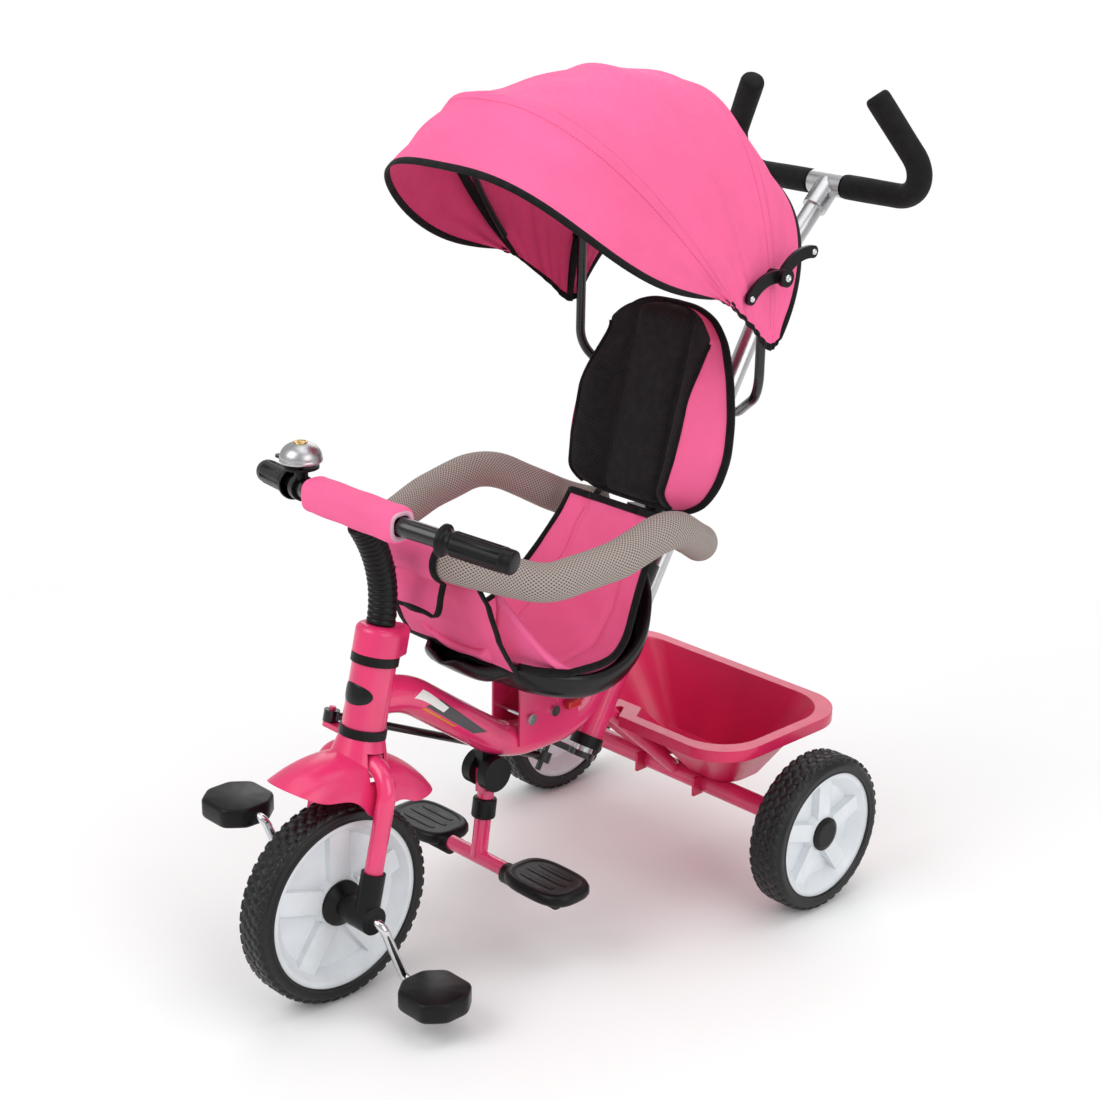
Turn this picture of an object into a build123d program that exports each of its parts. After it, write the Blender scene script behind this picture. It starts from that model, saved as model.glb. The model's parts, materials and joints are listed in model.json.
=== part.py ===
from build123d import *
from math import cos, radians, sin
import os

os.makedirs("parts", exist_ok=True)

# Fits
run_gap = 0.05
seat_gap = 0.3

# Wheels and axles
front_wheel_r = 124.5
front_tyre_w = 46
front_rim_r = 104
front_axle_y = -365.5
rear_wheel_r = 103
rear_tyre_w = 50
rear_rim_r = 83
rear_axle_y = 222
overall_half_w = 262
tyre_round = 11
rim_wall = 7
web_half = 4
rib_count = 5
rib_share = 0.3
rear_axle_r = 6
rear_boss_r = 23
hub_cap_r = 22
hub_cap_h = 5
axle_head_r = 10
axle_head_h = 4
crank_r = 5.5
crank_len = 85
crank_angle = 21
crank_bend = 12
crank_x = 88
crank_lean = 2
front_boss_r = 31
front_boss_half = 12
hub_flange_r = 28
hub_flange_w = 6
hub_neck_r = 15
hub_sleeve_r = 13

# Pedals
pedal_in_x = 103
pedal_len = 80
pedal_w = 76
pedal_h = 25
pedal_corner = 22
pedal_wall = 12

# Fork and head set, measured along the steering axis from the front axle
rake = 13
fork_half_w = 58
blade_r = 11
blade_wall = 2
blade_foot = 30
crown_height = 175
crown_bend = 35
crown_boss_r = 20
steerer_r = 14
steerer_wall = 3
steerer_top = 322
head_tube_r = 26
head_tube_wall = 4
head_low = 212
head_top = 288
ring_r = 28
ring_h = 11
ring_spigot = 10
fork_end_r = 17
fork_end_out = 15
fork_end_sleeve_r = 14.5
fork_end_top = 54
arm_len = 58
arm_t = 6
arm_w = 18
link_pin_r = 4
link_eye_r = 9.5
link_eye_h = 14

# Mudguard
guard_out_r = 176
guard_shift_y = -8
guard_shift_z = 10
guard_profile = ((44, 106), (44.5, 132), (33, 163))
guard_wall = 3
guard_front = 26
guard_rear = 54
guard_slot = 1.5
guard_hem = ((-150, 186), (-70, 165), (-39, 150), (-8, 143), (12, 127), (23, 114), (38, 112), (54, 121),
             (70, 121), (87, 113), (106, 110), (160, 100))
cone_base_r = 41
cone_low = 150

# Stem, handlebar and bell
hood_r = 28
hood_lobe_r = 14
hood_lobe_y = 28
hood_h = 34
hood_round = 9
stem_low = 292
stem_bend_at = 385
bar_y = -323
bar_z = 594
bar_r = 11
bar_wall = 2
bar_mid_half = 86
bar_end_x = 214
bar_end_y = -286
bar_end_z = 580
bar_bend = 40
bellows_r = 16
bellows_rib = 3.5
bellows_ribs = 11
bellows_rib_w = 4.5
bellows_bend = 60
pad_r = 21
pad_half = 78
grip_r = 14.5
grip_len = 92
grip_flange_r = 18.5
grip_flange_w = 5
grip_cap = 3
bell_at = 22
bell_clamp_w = 12
bell_clamp_r = 15
bell_neck_r = 8
bell_neck_h = 24
bell_plate_r = 21
bell_plate_h = 3
bell_r = 25
bell_h = 23
bell_wall = 2
bell_slot = 5
bell_lever_len = 28
bell_lever_w = 9
bell_lever_h = 3
bell_pivot = 13
bell_pin_r = 2.5

# Push pole, its socket and the main tube, measured along the pole from its foot
pole_lean = 30.4
pole_foot_y = 50
pole_foot_z = 207
pole_r = 12.5
pole_wall = 1.5
pole_below = 30
pole_bend_at = 668
pole_bend = 90
socket_r = 18
socket_len = 105
collar_r = 21
collar_h = 17
cap_r = 20.5
cap_h = 15
lever_h = 8
lever_w = 16
lever_pin_len = 38
link_slack = 3
link_r = 5
main_r = 22.5
main_wall = 2
main_gap = 1.5
main_head_z = 364
main_shoulder = (-257, 356)
main_belly_z = 241
main_belly_front = -97
main_belly_rear = 26
main_bend_shoulder = 110
main_bend_front = 130
main_bend_rear = 75
main_top = 216
stay_r = 9
stay_at = 42
axle_tube_r = 13.5
axle_end_gap = 6
axle_tube_wall = 2
axle_tube_plug = 16

# Push bar
push_y = 474
push_z = 866
push_corner_x = 183
push_end_x = 102
push_end_y = 431
push_end_z = 992
push_bend = 40
push_r = 11
push_wall = 1.5
push_grip_r = 16
push_grip_from = 27
push_grip_cap = 4
tee_r = 15.5
tee_len = 40

# Seat
seat_half_w = 128
seat_wall = 9
seat_floor = 7
bracket_wall = 3
bracket_front = -95
bracket_rear = 4
bracket_drop = 2
bracket_top = 336
bolt_r = 4
bolt_head_r = 7
bolt_head_h = 4
bolt_z = 276
bolt_y = (-78, -38)
button_y = -12
button_z = 280
button_stem_r = 4
button_travel = 3
button_size = (9, 22, 10)
cushion_t = 22
cushion_top = (88, 510)
crotch_half_w = 44
crotch_t = 6
crotch_low = (-166, 383)

# Backrest and post
back_lean = 14.4
back_y = 105
back_z = 515
back_h = 248
back_low_half = 104
back_half_w = 137
back_wide_at = 72
back_waist_half = 124
back_waist_at = 150
back_top_half_w = 92
back_corner = 40
back_pad_t = 38
back_board_t = 8
back_board_in = 10
post_r = 12
post_up = 150
post_down = 70
post_bend = 70
post_collar_r = 27
post_collar_low = 20
post_collar_high = 16

# Safety guard
foam_r = 23
guard_tube_r = 9
guard_front_y = -225
guard_front_z = 520
guard_front_half = 60
guard_corner = (142, -166, 505)
guard_side = (166, -78, 520)
guard_hump = (163, 15, 540)
guard_back = (120, 120, 480)
guard_end_x = 19
guard_end_foam = 52
guard_bends = (70, 55, 95, 95, 60)
guard_clamp_up = -26
guard_clamp_size = (56, 52, 30)
guard_knob_r = 6.5
guard_knob_y = 17
guard_knob_h = 12

# Basket
rim_z = 228
rim_half_x = 186
rim_front = 100
rim_rear = 322
rim_lip = 13
rim_drop = 15
floor_half_x = 98
floor_front = 212
floor_rear = 296
basket_wall = 3
rim_corner = 62
floor_corner = 30
groove_half = 16
groove_deep = 24
fin_x = 52
fin_t = 4
fin_drop = 26

# Footrest
drum_y = -127
drum_z = 214
drum_r = 22
drum_half = 21
tongue_half = 6.5
tongue_r = 12
drum_pin_r = 4
foot_post_r = 10.5
foot_stub_top = 25
foot_bar_y = -139
foot_bar_z = 100
foot_bar_r = 9.5
foot_bar_half = 138
foot_ring_z = 165
foot_ring_r = 15
foot_ring_h = 26
plate_in = 50
plate_out = 166
plate_y = -127
plate_half_w = 43
plate_t = 16
plate_round = 40
plate_neck = 4

# Canopy
canopy_pivot_y = 172
canopy_pivot_z = 815
fabric_t = 3
arch_steps = 12
visor_foot = (180, 64, 806)
visor_crown = (-255, 962)
visor_sag = 16
front_bow_foot = (180, 84, 792)
front_bow_crown = (-112, 1026)
apex_foot = (172, 130, 757)
apex_crown = (45, 1047)
crest_foot = (169, 160, 735)
crest_crown = (190, 1016)
rear_foot = (167, 188, 728)
rear_crown = (300, 905)
bow_r = 4
rod_r = 6
rod_half_x = 152
rod_low_z = 646
rod_front_y = 172
rod_bar_half = 84
rod_bend = 45
rod_saddle_h = 24
rod_saddle_wall = 5
rod_saddle_up = 130
pivot_pin_r = 4
link_plate_in = 176.5
link_plate_t = 5
link_plate_w = 15
link_front = (118, 797)
link_rear = (226, 838)
link_rise = 9
knob_r = 11
knob_h = 7
link_boss_r = 8


def lean_plane(foot, lean):
    """Plane across a line that leans back, with its normal up the line."""
    angle = radians(lean)
    return Plane(origin=foot, x_dir=(1, 0, 0), z_dir=(0, sin(angle), cos(angle)))


def at(plane, x, y, z):
    """Point given in a plane's own directions."""
    return plane.from_local_coords(Vector(x, y, z))


def keep(piece, name):
    """Label a finished piece and write it."""
    piece.part.label = name
    export_step(piece.part, f"parts/{name}.step")


def post(plane, start, end, radius, x=0, y=0, mode=Mode.ADD):
    """Round bar along a plane's normal."""
    with BuildSketch(plane.offset(start)) as section:
        with Locations((x, y)):
            Circle(radius)
    extrude(section.sketch, amount=end - start, mode=mode)


def cross(y, z, start, end, radius, mode=Mode.ADD):
    """Round bar along X."""
    with BuildSketch(Plane(origin=(start, y, z), x_dir=(0, 1, 0), z_dir=(1, 0, 0))) as section:
        Circle(radius)
    extrude(section.sketch, amount=end - start, mode=mode)


def turned(y, z, profile, mode=Mode.ADD):
    """Solid of revolution about X; the profile gives place along X and radius."""
    with BuildSketch(Plane(origin=(0, y, z), x_dir=(1, 0, 0), z_dir=(0, -1, 0))) as section:
        with BuildLine():
            Polyline(*profile, close=True)
        make_face()
    revolve(section.sketch, axis=Axis((0, y, z), (1, 0, 0)), mode=mode)


def spun(plane, profile, mode=Mode.ADD):
    """Solid of revolution about a plane's normal; the profile gives radius and height."""
    with BuildSketch(Plane(origin=plane.origin, x_dir=plane.x_dir, z_dir=-plane.y_dir)) as section:
        with BuildLine():
            Polyline(*profile, close=True)
        make_face()
    revolve(section.sketch, axis=Axis(plane.origin, plane.z_dir), mode=mode)


def bent(points, bends, radius, bore=0, mode=Mode.ADD):
    """Round bar or tube along straight runs joined by arcs."""
    with BuildLine() as route:
        FilletPolyline(*points, radius=bends)
    with BuildSketch(Plane(origin=route.line @ 0, z_dir=route.line % 0)) as section:
        Circle(radius)
        if bore:
            Circle(bore, mode=Mode.SUBTRACT)
    sweep(section.sketch, path=route.line, mode=mode)


def straight(start, end, radius, mode=Mode.ADD):
    """Round bar between two points."""
    run = Vector(*end) - Vector(*start)
    with BuildSketch(Plane(origin=start, z_dir=run)) as section:
        Circle(radius)
    extrude(section.sketch, amount=run.length, mode=mode)


steer = lean_plane((0, front_axle_y, front_wheel_r), rake)
pole = lean_plane((0, pole_foot_y, pole_foot_z), pole_lean)

# Tyres and discs


def tyre(name, x, y, radius, width, rim_r):
    """Foam tyre with rounded shoulders."""
    with BuildPart() as piece:
        plane = Plane(origin=(x, y, radius), x_dir=(1, 0, 0), z_dir=(0, -1, 0))
        with BuildSketch(plane) as section:
            with Locations((0, (radius + rim_r) / 2)):
                Rectangle(width, radius - rim_r)
            fillet(section.vertices().group_by(Axis.Y)[-1], tyre_round)
        revolve(axis=Axis((x, y, radius), (1, 0, 0)))
    keep(piece, name)


def ribs(face_x, y, z, inner_r, outer_r, height):
    """Radial ribs standing on a disc's web."""
    facing = 1 if height > 0 else -1
    with BuildSketch(Plane(origin=(face_x, y, z), x_dir=(0, 1, 0), z_dir=(facing, 0, 0))) as section:
        with PolarLocations((inner_r + outer_r) / 2, rib_count, start_angle=90):
            Rectangle(outer_r - inner_r, outer_r * rib_share)
    extrude(section.sketch, amount=abs(height))


tyre("front_tyre", 0, front_axle_y, front_wheel_r, front_tyre_w, front_rim_r)
front_rim_half = front_tyre_w / 2 - 3
with BuildPart() as front_disc:
    rim_r = front_rim_r - seat_gap / 10
    rib_h = front_boss_half - web_half
    turned(front_axle_y, front_wheel_r, (
        (-front_boss_half, hub_sleeve_r + seat_gap / 2),
        (-front_boss_half, front_boss_r),
        (-web_half, front_boss_r + 4),
        (-web_half, rim_r - 3 * rim_wall),
        (-front_rim_half, rim_r - rim_wall),
        (-front_rim_half, rim_r),
        (front_rim_half, rim_r),
        (front_rim_half, rim_r - rim_wall),
        (web_half, rim_r - 3 * rim_wall),
        (web_half, front_boss_r + 4),
        (front_boss_half, front_boss_r),
        (front_boss_half, hub_sleeve_r + seat_gap / 2)))
    for face in (1, -1):
        ribs(face * web_half, front_axle_y, front_wheel_r, front_boss_r - 1, rim_r - rim_wall, face * rib_h)
keep(front_disc, "front_disc")

# The hub's neck ends just short of the fork end.
fork_end_in = fork_half_w - fork_end_r
with BuildPart() as front_hub:
    for face in (1, -1):
        turned(front_axle_y, front_wheel_r, (
            (face * seat_gap / 2, crank_r + run_gap),
            (face * seat_gap / 2, hub_sleeve_r),
            (face * (front_boss_half + seat_gap / 2), hub_sleeve_r),
            (face * (front_boss_half + seat_gap / 2), hub_flange_r),
            (face * (front_boss_half + hub_flange_w / 2), hub_flange_r),
            (face * (front_boss_half + hub_flange_w + 4), hub_neck_r),
            (face * (fork_end_in - seat_gap), hub_neck_r),
            (face * (fork_end_in - seat_gap), crank_r + run_gap)))
keep(front_hub, "front_hub")

# One bent rod is axle, cranks and pedal pins; the near crank points down and a little back.
crank_down = Vector(0, sin(radians(crank_angle)), -cos(radians(crank_angle))) * crank_len
front_axle = Vector(0, front_axle_y, front_wheel_r)
pedal_pin_x = pedal_in_x + pedal_len - pedal_wall
with BuildPart() as crank_axle:
    bent((front_axle - crank_down - Vector(pedal_pin_x, 0, 0),
          front_axle - crank_down - Vector(crank_x + crank_lean, 0, 0),
          front_axle - Vector(crank_x, 0, 0),
          front_axle + Vector(crank_x, 0, 0),
          front_axle + crank_down + Vector(crank_x + crank_lean, 0, 0),
          front_axle + crank_down + Vector(pedal_pin_x, 0, 0)), crank_bend, crank_r)
keep(crank_axle, "crank_axle")


def pedal(name, side):
    """Eight-sided block pedal with a blind bore and a slot in its outer edge."""
    middle = front_axle + crank_down * side + Vector(side * (pedal_in_x + pedal_len / 2), 0, 0)
    with BuildPart() as piece:
        with BuildSketch(Plane.XY.offset(middle.Z - pedal_h / 2)) as outline:
            with Locations((middle.X, middle.Y)):
                Rectangle(pedal_len, pedal_w)
            chamfer(outline.vertices(), pedal_corner)
        extrude(amount=pedal_h)
        fillet(piece.edges().group_by(Axis.Z)[-1], 2)
        fillet(piece.edges().group_by(Axis.Z)[0], 2)
        cross(middle.Y, middle.Z, side * (pedal_in_x - 1), side * (pedal_pin_x + 1),
              crank_r + run_gap, mode=Mode.SUBTRACT)
        slot_x = side * (pedal_in_x + pedal_len)
        with Locations((slot_x, middle.Y, middle.Z + pedal_h / 2)):
            Box(pedal_wall, 26, 10, mode=Mode.SUBTRACT)
        with BuildSketch(Plane.XY.offset(middle.Z + pedal_h / 2)):
            with Locations((middle.X, middle.Y)):
                with GridLocations(1, 14, 1, 4):
                    Rectangle(pedal_len - 3 * pedal_wall, 3)
        extrude(amount=-1.5, mode=Mode.SUBTRACT)
    keep(piece, name)


pedal("pedal_left", 1)
pedal("pedal_right", -1)

# Rear wheels: the hub turns between the axle tube's end and the head of the axle
rear_mid_x = overall_half_w - rear_tyre_w / 2
axle_tube_half = overall_half_w - rear_tyre_w - axle_end_gap
rear_rim_half = rear_tyre_w / 2 - 4
hub_in_x = axle_tube_half + seat_gap
head_seat_x = rear_mid_x + 10
hub_out_x = head_seat_x + axle_head_h + 3


def rear_wheel(side, word):
    """Tyre, disc and hub cap of one rear wheel."""
    tyre(f"rear_tyre_{word}", side * rear_mid_x, rear_axle_y, rear_wheel_r, rear_tyre_w, rear_rim_r)
    rim_r = rear_rim_r - seat_gap / 10
    bore = rear_axle_r + run_gap
    with BuildPart() as disc:
        turned(rear_axle_y, rear_wheel_r, (
            (side * hub_in_x, bore),
            (side * hub_in_x, rear_boss_r - 8),
            (side * (rear_mid_x - web_half), rear_boss_r),
            (side * (rear_mid_x - web_half), rim_r - 3 * rim_wall),
            (side * (rear_mid_x - rear_rim_half), rim_r - rim_wall),
            (side * (rear_mid_x - rear_rim_half), rim_r),
            (side * (rear_mid_x + rear_rim_half), rim_r),
            (side * (rear_mid_x + rear_rim_half), rim_r - rim_wall),
            (side * (rear_mid_x + web_half), rim_r - 3 * rim_wall),
            (side * (rear_mid_x + web_half), rear_boss_r + 5),
            (side * hub_out_x, rear_boss_r),
            (side * hub_out_x, axle_head_r + 2),
            (side * head_seat_x, axle_head_r + 2),
            (side * head_seat_x, bore)))
        ribs(side * (rear_mid_x + web_half), rear_axle_y, rear_wheel_r, rear_boss_r - 1,
             rim_r - rim_wall, side * (hub_out_x - rear_mid_x - web_half - 2))
    keep(disc, f"rear_disc_{word}")
    with BuildPart() as cap:
        turned(rear_axle_y, rear_wheel_r, (
            (side * (hub_out_x + seat_gap / 10), 0),
            (side * (hub_out_x + seat_gap / 10), hub_cap_r),
            (side * (hub_out_x + hub_cap_h / 2), hub_cap_r),
            (side * (hub_out_x + hub_cap_h), hub_cap_r - 6),
            (side * (hub_out_x + hub_cap_h), 0)))
    keep(cap, f"rear_cap_{word}")


rear_wheel(1, "left")
rear_wheel(-1, "right")

with BuildPart() as rear_axle:
    cross(rear_axle_y, rear_wheel_r, -head_seat_x - 1, head_seat_x + 1, rear_axle_r)
    for side in (1, -1):
        cross(rear_axle_y, rear_wheel_r, side * (head_seat_x + seat_gap),
              side * (head_seat_x + seat_gap + axle_head_h), axle_head_r)
keep(rear_axle, "rear_axle")

with BuildPart() as axle_tube:
    cross(rear_axle_y, rear_wheel_r, -axle_tube_half, axle_tube_half, axle_tube_r)
    cross(rear_axle_y, rear_wheel_r, -axle_tube_half, axle_tube_half, rear_axle_r + run_gap,
          mode=Mode.SUBTRACT)
    plug_x = axle_tube_half - axle_tube_plug
    cross(rear_axle_y, rear_wheel_r, -plug_x, plug_x, axle_tube_r - axle_tube_wall, mode=Mode.SUBTRACT)
keep(axle_tube, "axle_tube")

# Head tube and its bearing rings
with BuildPart() as head_tube:
    post(steer, head_low, head_top, head_tube_r)
    post(steer, head_low, head_top, head_tube_r - head_tube_wall, mode=Mode.SUBTRACT)
keep(head_tube, "head_tube")

spigot_r = head_tube_r - head_tube_wall - run_gap
with BuildPart() as head_bearings:
    for end, out in ((head_low, -1), (head_top, 1)):
        post(steer, end, end + out * ring_h, ring_r)
        post(steer, end, end - out * ring_spigot, spigot_r)
        post(steer, end - out * ring_spigot, end + out * ring_h, steerer_r + run_gap, mode=Mode.SUBTRACT)
keep(head_bearings, "head_bearings")
ring_low = head_low - ring_h
ring_top = head_top + ring_h

# Fork: one bent tube for crown and blades, the steerer, and the arm for the steering link
blade_path = (at(steer, -fork_half_w, 0, blade_foot), at(steer, -fork_half_w, 0, crown_height),
              at(steer, fork_half_w, 0, crown_height), at(steer, fork_half_w, 0, blade_foot))
arm_z = ring_low - seat_gap - arm_t - 2
with BuildPart() as fork:
    bent(blade_path, crown_bend, blade_r)
    post(steer, crown_height - blade_r / 2, ring_low - seat_gap, crown_boss_r)
    post(steer, crown_height + 2, steerer_top, steerer_r)
    with BuildSketch(steer.offset(arm_z)):
        with Locations((-arm_len / 2, 0)):
            SlotCenterToCenter(arm_len, arm_w)
    extrude(amount=arm_t)
    post(steer, arm_z + arm_t, arm_z + arm_t + link_eye_h + 4, link_pin_r, x=-arm_len)
    bent(blade_path, crown_bend, blade_r - blade_wall, mode=Mode.SUBTRACT)
    post(steer, crown_height + blade_r, steerer_top, steerer_r - steerer_wall, mode=Mode.SUBTRACT)
keep(fork, "fork")

with BuildPart() as fork_ends:
    for side in (1, -1):
        cross(front_axle_y, front_wheel_r, side * fork_end_in, side * (fork_half_w + fork_end_out),
              fork_end_r)
        post(steer, 0, fork_end_top, fork_end_sleeve_r, x=side * fork_half_w)
        post(steer, blade_foot, fork_end_top, blade_r + run_gap, x=side * fork_half_w, mode=Mode.SUBTRACT)
        cross(front_axle_y, front_wheel_r, side * fork_end_in, side * (fork_half_w + fork_end_out),
              crank_r + run_gap, mode=Mode.SUBTRACT)
keep(fork_ends, "fork_ends")

# Mudguard: a curved shell round the wheel with a cone up to the lower ring
guard_centre = (0, front_axle_y + guard_shift_y, front_wheel_r + guard_shift_z)
front_tilt = radians(guard_front)
guard_plane = Plane(origin=guard_centre, x_dir=(1, 0, 0), z_dir=(0, -cos(front_tilt), -sin(front_tilt)))
cone_top = ring_low - seat_gap


def guard_section(wall, drop):
    """Filled cross-section under the mudguard's arch, set in by a wall and lowered at its feet."""
    (foot_x, foot_r), (side_x, side_r), (bend_x, bend_r) = guard_profile
    bend = 0.7 * wall
    right = ((foot_x - wall, foot_r - drop), (side_x - wall, side_r), (bend_x - bend, bend_r - bend))
    left = [(-x, r) for x, r in right]
    with BuildSketch(guard_plane) as section:
        with BuildLine():
            Spline(*left, (0, guard_out_r - wall), *reversed(right))
            Line(right[0], left[0])
        make_face()
    return section.sketch


with BuildPart() as mudguard:
    guard_turn = Axis(guard_centre, (-1, 0, 0))
    revolve(guard_section(0, 0), axis=guard_turn, revolution_arc=guard_front + guard_rear)
    spun(steer, ((0, cone_top), (head_tube_r + 1, cone_top), (cone_base_r, cone_low), (0, cone_low)))
    revolve(guard_section(guard_wall, 2), axis=guard_turn, revolution_arc=guard_front + guard_rear,
            mode=Mode.SUBTRACT)
    spun(steer, ((0, cone_top + 1), (head_tube_r + 1 - guard_wall, cone_top + 1),
                 (cone_base_r - guard_wall, cone_low - 1), (0, cone_low - 1)), mode=Mode.SUBTRACT)
    with BuildSketch(steer.offset(arm_z - seat_gap)):
        with Locations((-arm_len / 2, 0)):
            SlotCenterToCenter(arm_len, arm_w + 2 * seat_gap)
    extrude(amount=arm_t + 2 * seat_gap, mode=Mode.SUBTRACT)
    with BuildSketch(Plane.YZ.offset(-fork_half_w)):
        with BuildLine():
            edge = [(front_axle_y + y, front_wheel_r + z) for y, z in guard_hem]
            Spline(*edge)
            Polyline(edge[-1], (edge[-1][0], front_wheel_r), (edge[0][0], front_wheel_r), edge[0])
        make_face()
    extrude(amount=2 * fork_half_w, mode=Mode.SUBTRACT)
    with BuildSketch(Plane(origin=steer.origin, x_dir=(1, 0, 0), z_dir=-steer.y_dir)):
        for room, way in ((blade_r + guard_slot, Mode.ADD), (-blade_r - guard_slot, Mode.SUBTRACT)):
            wide = fork_half_w + room
            high = crown_height + room
            with BuildLine():
                FilletPolyline((-wide, 0), (-wide, high), (wide, high), (wide, 0), radius=crown_bend + room)
                Line((wide, 0), (-wide, 0))
            make_face(mode=way)
    extrude(amount=blade_r + guard_slot, both=True, mode=Mode.SUBTRACT)
keep(mudguard, "mudguard")

# Hood over the stem's clamp
with BuildPart() as stem_hood:
    with BuildSketch(steer.offset(ring_top + seat_gap)):
        Circle(hood_r)
        with Locations((0, hood_lobe_y)):
            Circle(hood_lobe_r)
        make_hull()
    extrude(amount=hood_h)
    fillet(stem_hood.faces().sort_by(Axis(steer.origin, steer.z_dir))[-1].edges(), hood_round)
    post(steer, ring_top, ring_top + hood_h + 1, steerer_r + seat_gap, mode=Mode.SUBTRACT)
keep(stem_hood, "stem_hood")

# Handlebar with its stem
stem_r = steerer_r - steerer_wall - run_gap
bar_middle = Vector(0, bar_y, bar_z)
stem_path = (at(steer, 0, 0, stem_low), at(steer, 0, 0, stem_bend_at), bar_middle)
bar_path = tuple((side * x, y, z) for side, x, y, z in (
    (-1, bar_end_x, bar_end_y, bar_end_z), (-1, bar_mid_half, bar_y, bar_z),
    (1, bar_mid_half, bar_y, bar_z), (1, bar_end_x, bar_end_y, bar_end_z)))
with BuildPart() as handlebar:
    bent(bar_path, bar_bend, bar_r)
    bent(stem_path, bellows_bend, stem_r)
    bent(bar_path, bar_bend, bar_r - bar_wall, mode=Mode.SUBTRACT)
keep(handlebar, "handlebar")

stem_leg = (bar_middle - Vector(*stem_path[1])).normalized()
bellows_low = ring_top + hood_h + 2 * seat_gap
with BuildPart() as bellows:
    with BuildLine() as sleeve:
        FilletPolyline(at(steer, 0, 0, bellows_low), at(steer, 0, 0, stem_bend_at),
                       bar_middle - stem_leg * (pad_r + 2), radius=bellows_bend)
    with BuildSketch(Plane(origin=sleeve.line @ 0, z_dir=sleeve.line % 0)):
        Circle(bellows_r)
    sweep(path=sleeve.line)
    for step in range(bellows_ribs):
        share = (step + 0.5) / bellows_ribs
        rib_plane = Plane(origin=sleeve.line @ share, x_dir=(1, 0, 0), z_dir=sleeve.line % share)
        post(rib_plane, -bellows_rib_w / 2, bellows_rib_w / 2, bellows_r + bellows_rib)
    bent(stem_path, bellows_bend, stem_r + seat_gap, mode=Mode.SUBTRACT)
keep(bellows, "bellows")

with BuildPart() as handlebar_pad:
    cross(bar_y, bar_z, -pad_half, pad_half, pad_r)
    cross(bar_y, bar_z, -pad_half, pad_half, bar_r + seat_gap, mode=Mode.SUBTRACT)
    straight(bar_middle - stem_leg * 2 * pad_r, bar_middle, stem_r + seat_gap, mode=Mode.SUBTRACT)
keep(handlebar_pad, "handlebar_pad")


def bar_leg(side):
    """Plane at the handlebar's bend, with its normal out along the swept leg."""
    bend = Vector(side * bar_mid_half, bar_y, bar_z)
    end = Vector(side * bar_end_x, bar_end_y, bar_end_z)
    return Plane(origin=bend, x_dir=(0, 0, 1), z_dir=end - bend)


leg_len = (Vector(bar_end_x, bar_end_y, bar_end_z) - Vector(bar_mid_half, bar_y, bar_z)).length
with BuildPart() as grips:
    for side in (1, -1):
        leg = bar_leg(side)
        grip_end = leg_len + grip_cap
        post(leg, grip_end - grip_len, grip_end, grip_r)
        post(leg, grip_end - grip_len, grip_end - grip_len + grip_flange_w, grip_flange_r)
        post(leg, grip_end - grip_len, leg_len + seat_gap, bar_r + seat_gap, mode=Mode.SUBTRACT)
keep(grips, "grips")

# Bell on the right leg of the bar
bell_leg = bar_leg(-1)
bell_foot = at(bell_leg, 0, 0, bell_at)
bell_plane = Plane(origin=bell_foot)
plate_low = bell_neck_h
plate_top = bell_neck_h + bell_plate_h
dome_low = plate_top + bell_slot
with BuildPart() as bell_base:
    post(bell_leg, bell_at - bell_clamp_w / 2, bell_at + bell_clamp_w / 2, bell_clamp_r)
    post(bell_plane, bar_r, plate_low, bell_neck_r)
    post(bell_plane, plate_low, plate_top, bell_plate_r)
    post(bell_plane, plate_top, dome_low + bell_h - bell_wall - 2 * seat_gap, bell_pin_r)
    post(bell_plane, plate_top, plate_top + bell_slot - 1, bell_pin_r, x=-bell_pivot)
    post(bell_leg, bell_at - bell_clamp_w, bell_at + bell_clamp_w, bar_r + seat_gap, mode=Mode.SUBTRACT)
keep(bell_base, "bell_base")

with BuildPart() as bell_dome:
    dome_top = dome_low + bell_h
    spun(bell_plane, (
        (0, dome_top),
        (bell_r * 0.55, dome_top - 2),
        (bell_r * 0.88, dome_low + bell_h * 0.62),
        (bell_r, dome_low + bell_h * 0.25),
        (bell_r, dome_low),
        (bell_r - bell_wall, dome_low),
        (bell_r - bell_wall, dome_low + bell_h * 0.25),
        (bell_r * 0.8, dome_low + bell_h * 0.56),
        (bell_r * 0.5, dome_top - 2 - bell_wall),
        (0, dome_top - bell_wall)))
keep(bell_dome, "bell_dome")

with BuildPart() as bell_lever:
    with BuildSketch(bell_plane.offset(plate_top + seat_gap)):
        with Locations((-bell_pivot - bell_lever_len / 2, 0)):
            SlotCenterToCenter(bell_lever_len, bell_lever_w)
    extrude(amount=bell_lever_h)
    post(bell_plane, plate_top, dome_low, bell_pin_r + run_gap, x=-bell_pivot, mode=Mode.SUBTRACT)
keep(bell_lever, "bell_lever")

# Main tube: level out of the head, down, along under the seat and up beside the pole
post_offset = main_r + pole_r + main_gap
main_leg = Plane(origin=at(pole, 0, -post_offset, 0), x_dir=pole.x_dir, z_dir=pole.z_dir)
leg_run = main_leg.z_dir
belly_rear_y = main_leg.origin.Y + (main_belly_z - main_leg.origin.Z) * leg_run.Y / leg_run.Z
head_y = front_axle_y + (main_head_z - front_wheel_r) * sin(radians(rake)) / cos(radians(rake))
main_path = ((0, head_y, main_head_z), (0, *main_shoulder), (0, main_belly_front, main_belly_z),
             (0, belly_rear_y, main_belly_z), at(main_leg, 0, 0, main_top))
main_bends = (main_bend_shoulder, main_bend_front, main_bend_rear)
with BuildPart() as main_core:
    bent(main_path, main_bends, main_r)
with BuildPart() as main_tube:
    add(main_core.part)
    bent(main_path, main_bends, main_r - main_wall, mode=Mode.SUBTRACT)
    post(steer, head_low, head_top, head_tube_r, mode=Mode.SUBTRACT)
keep(main_tube, "main_tube")

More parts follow.
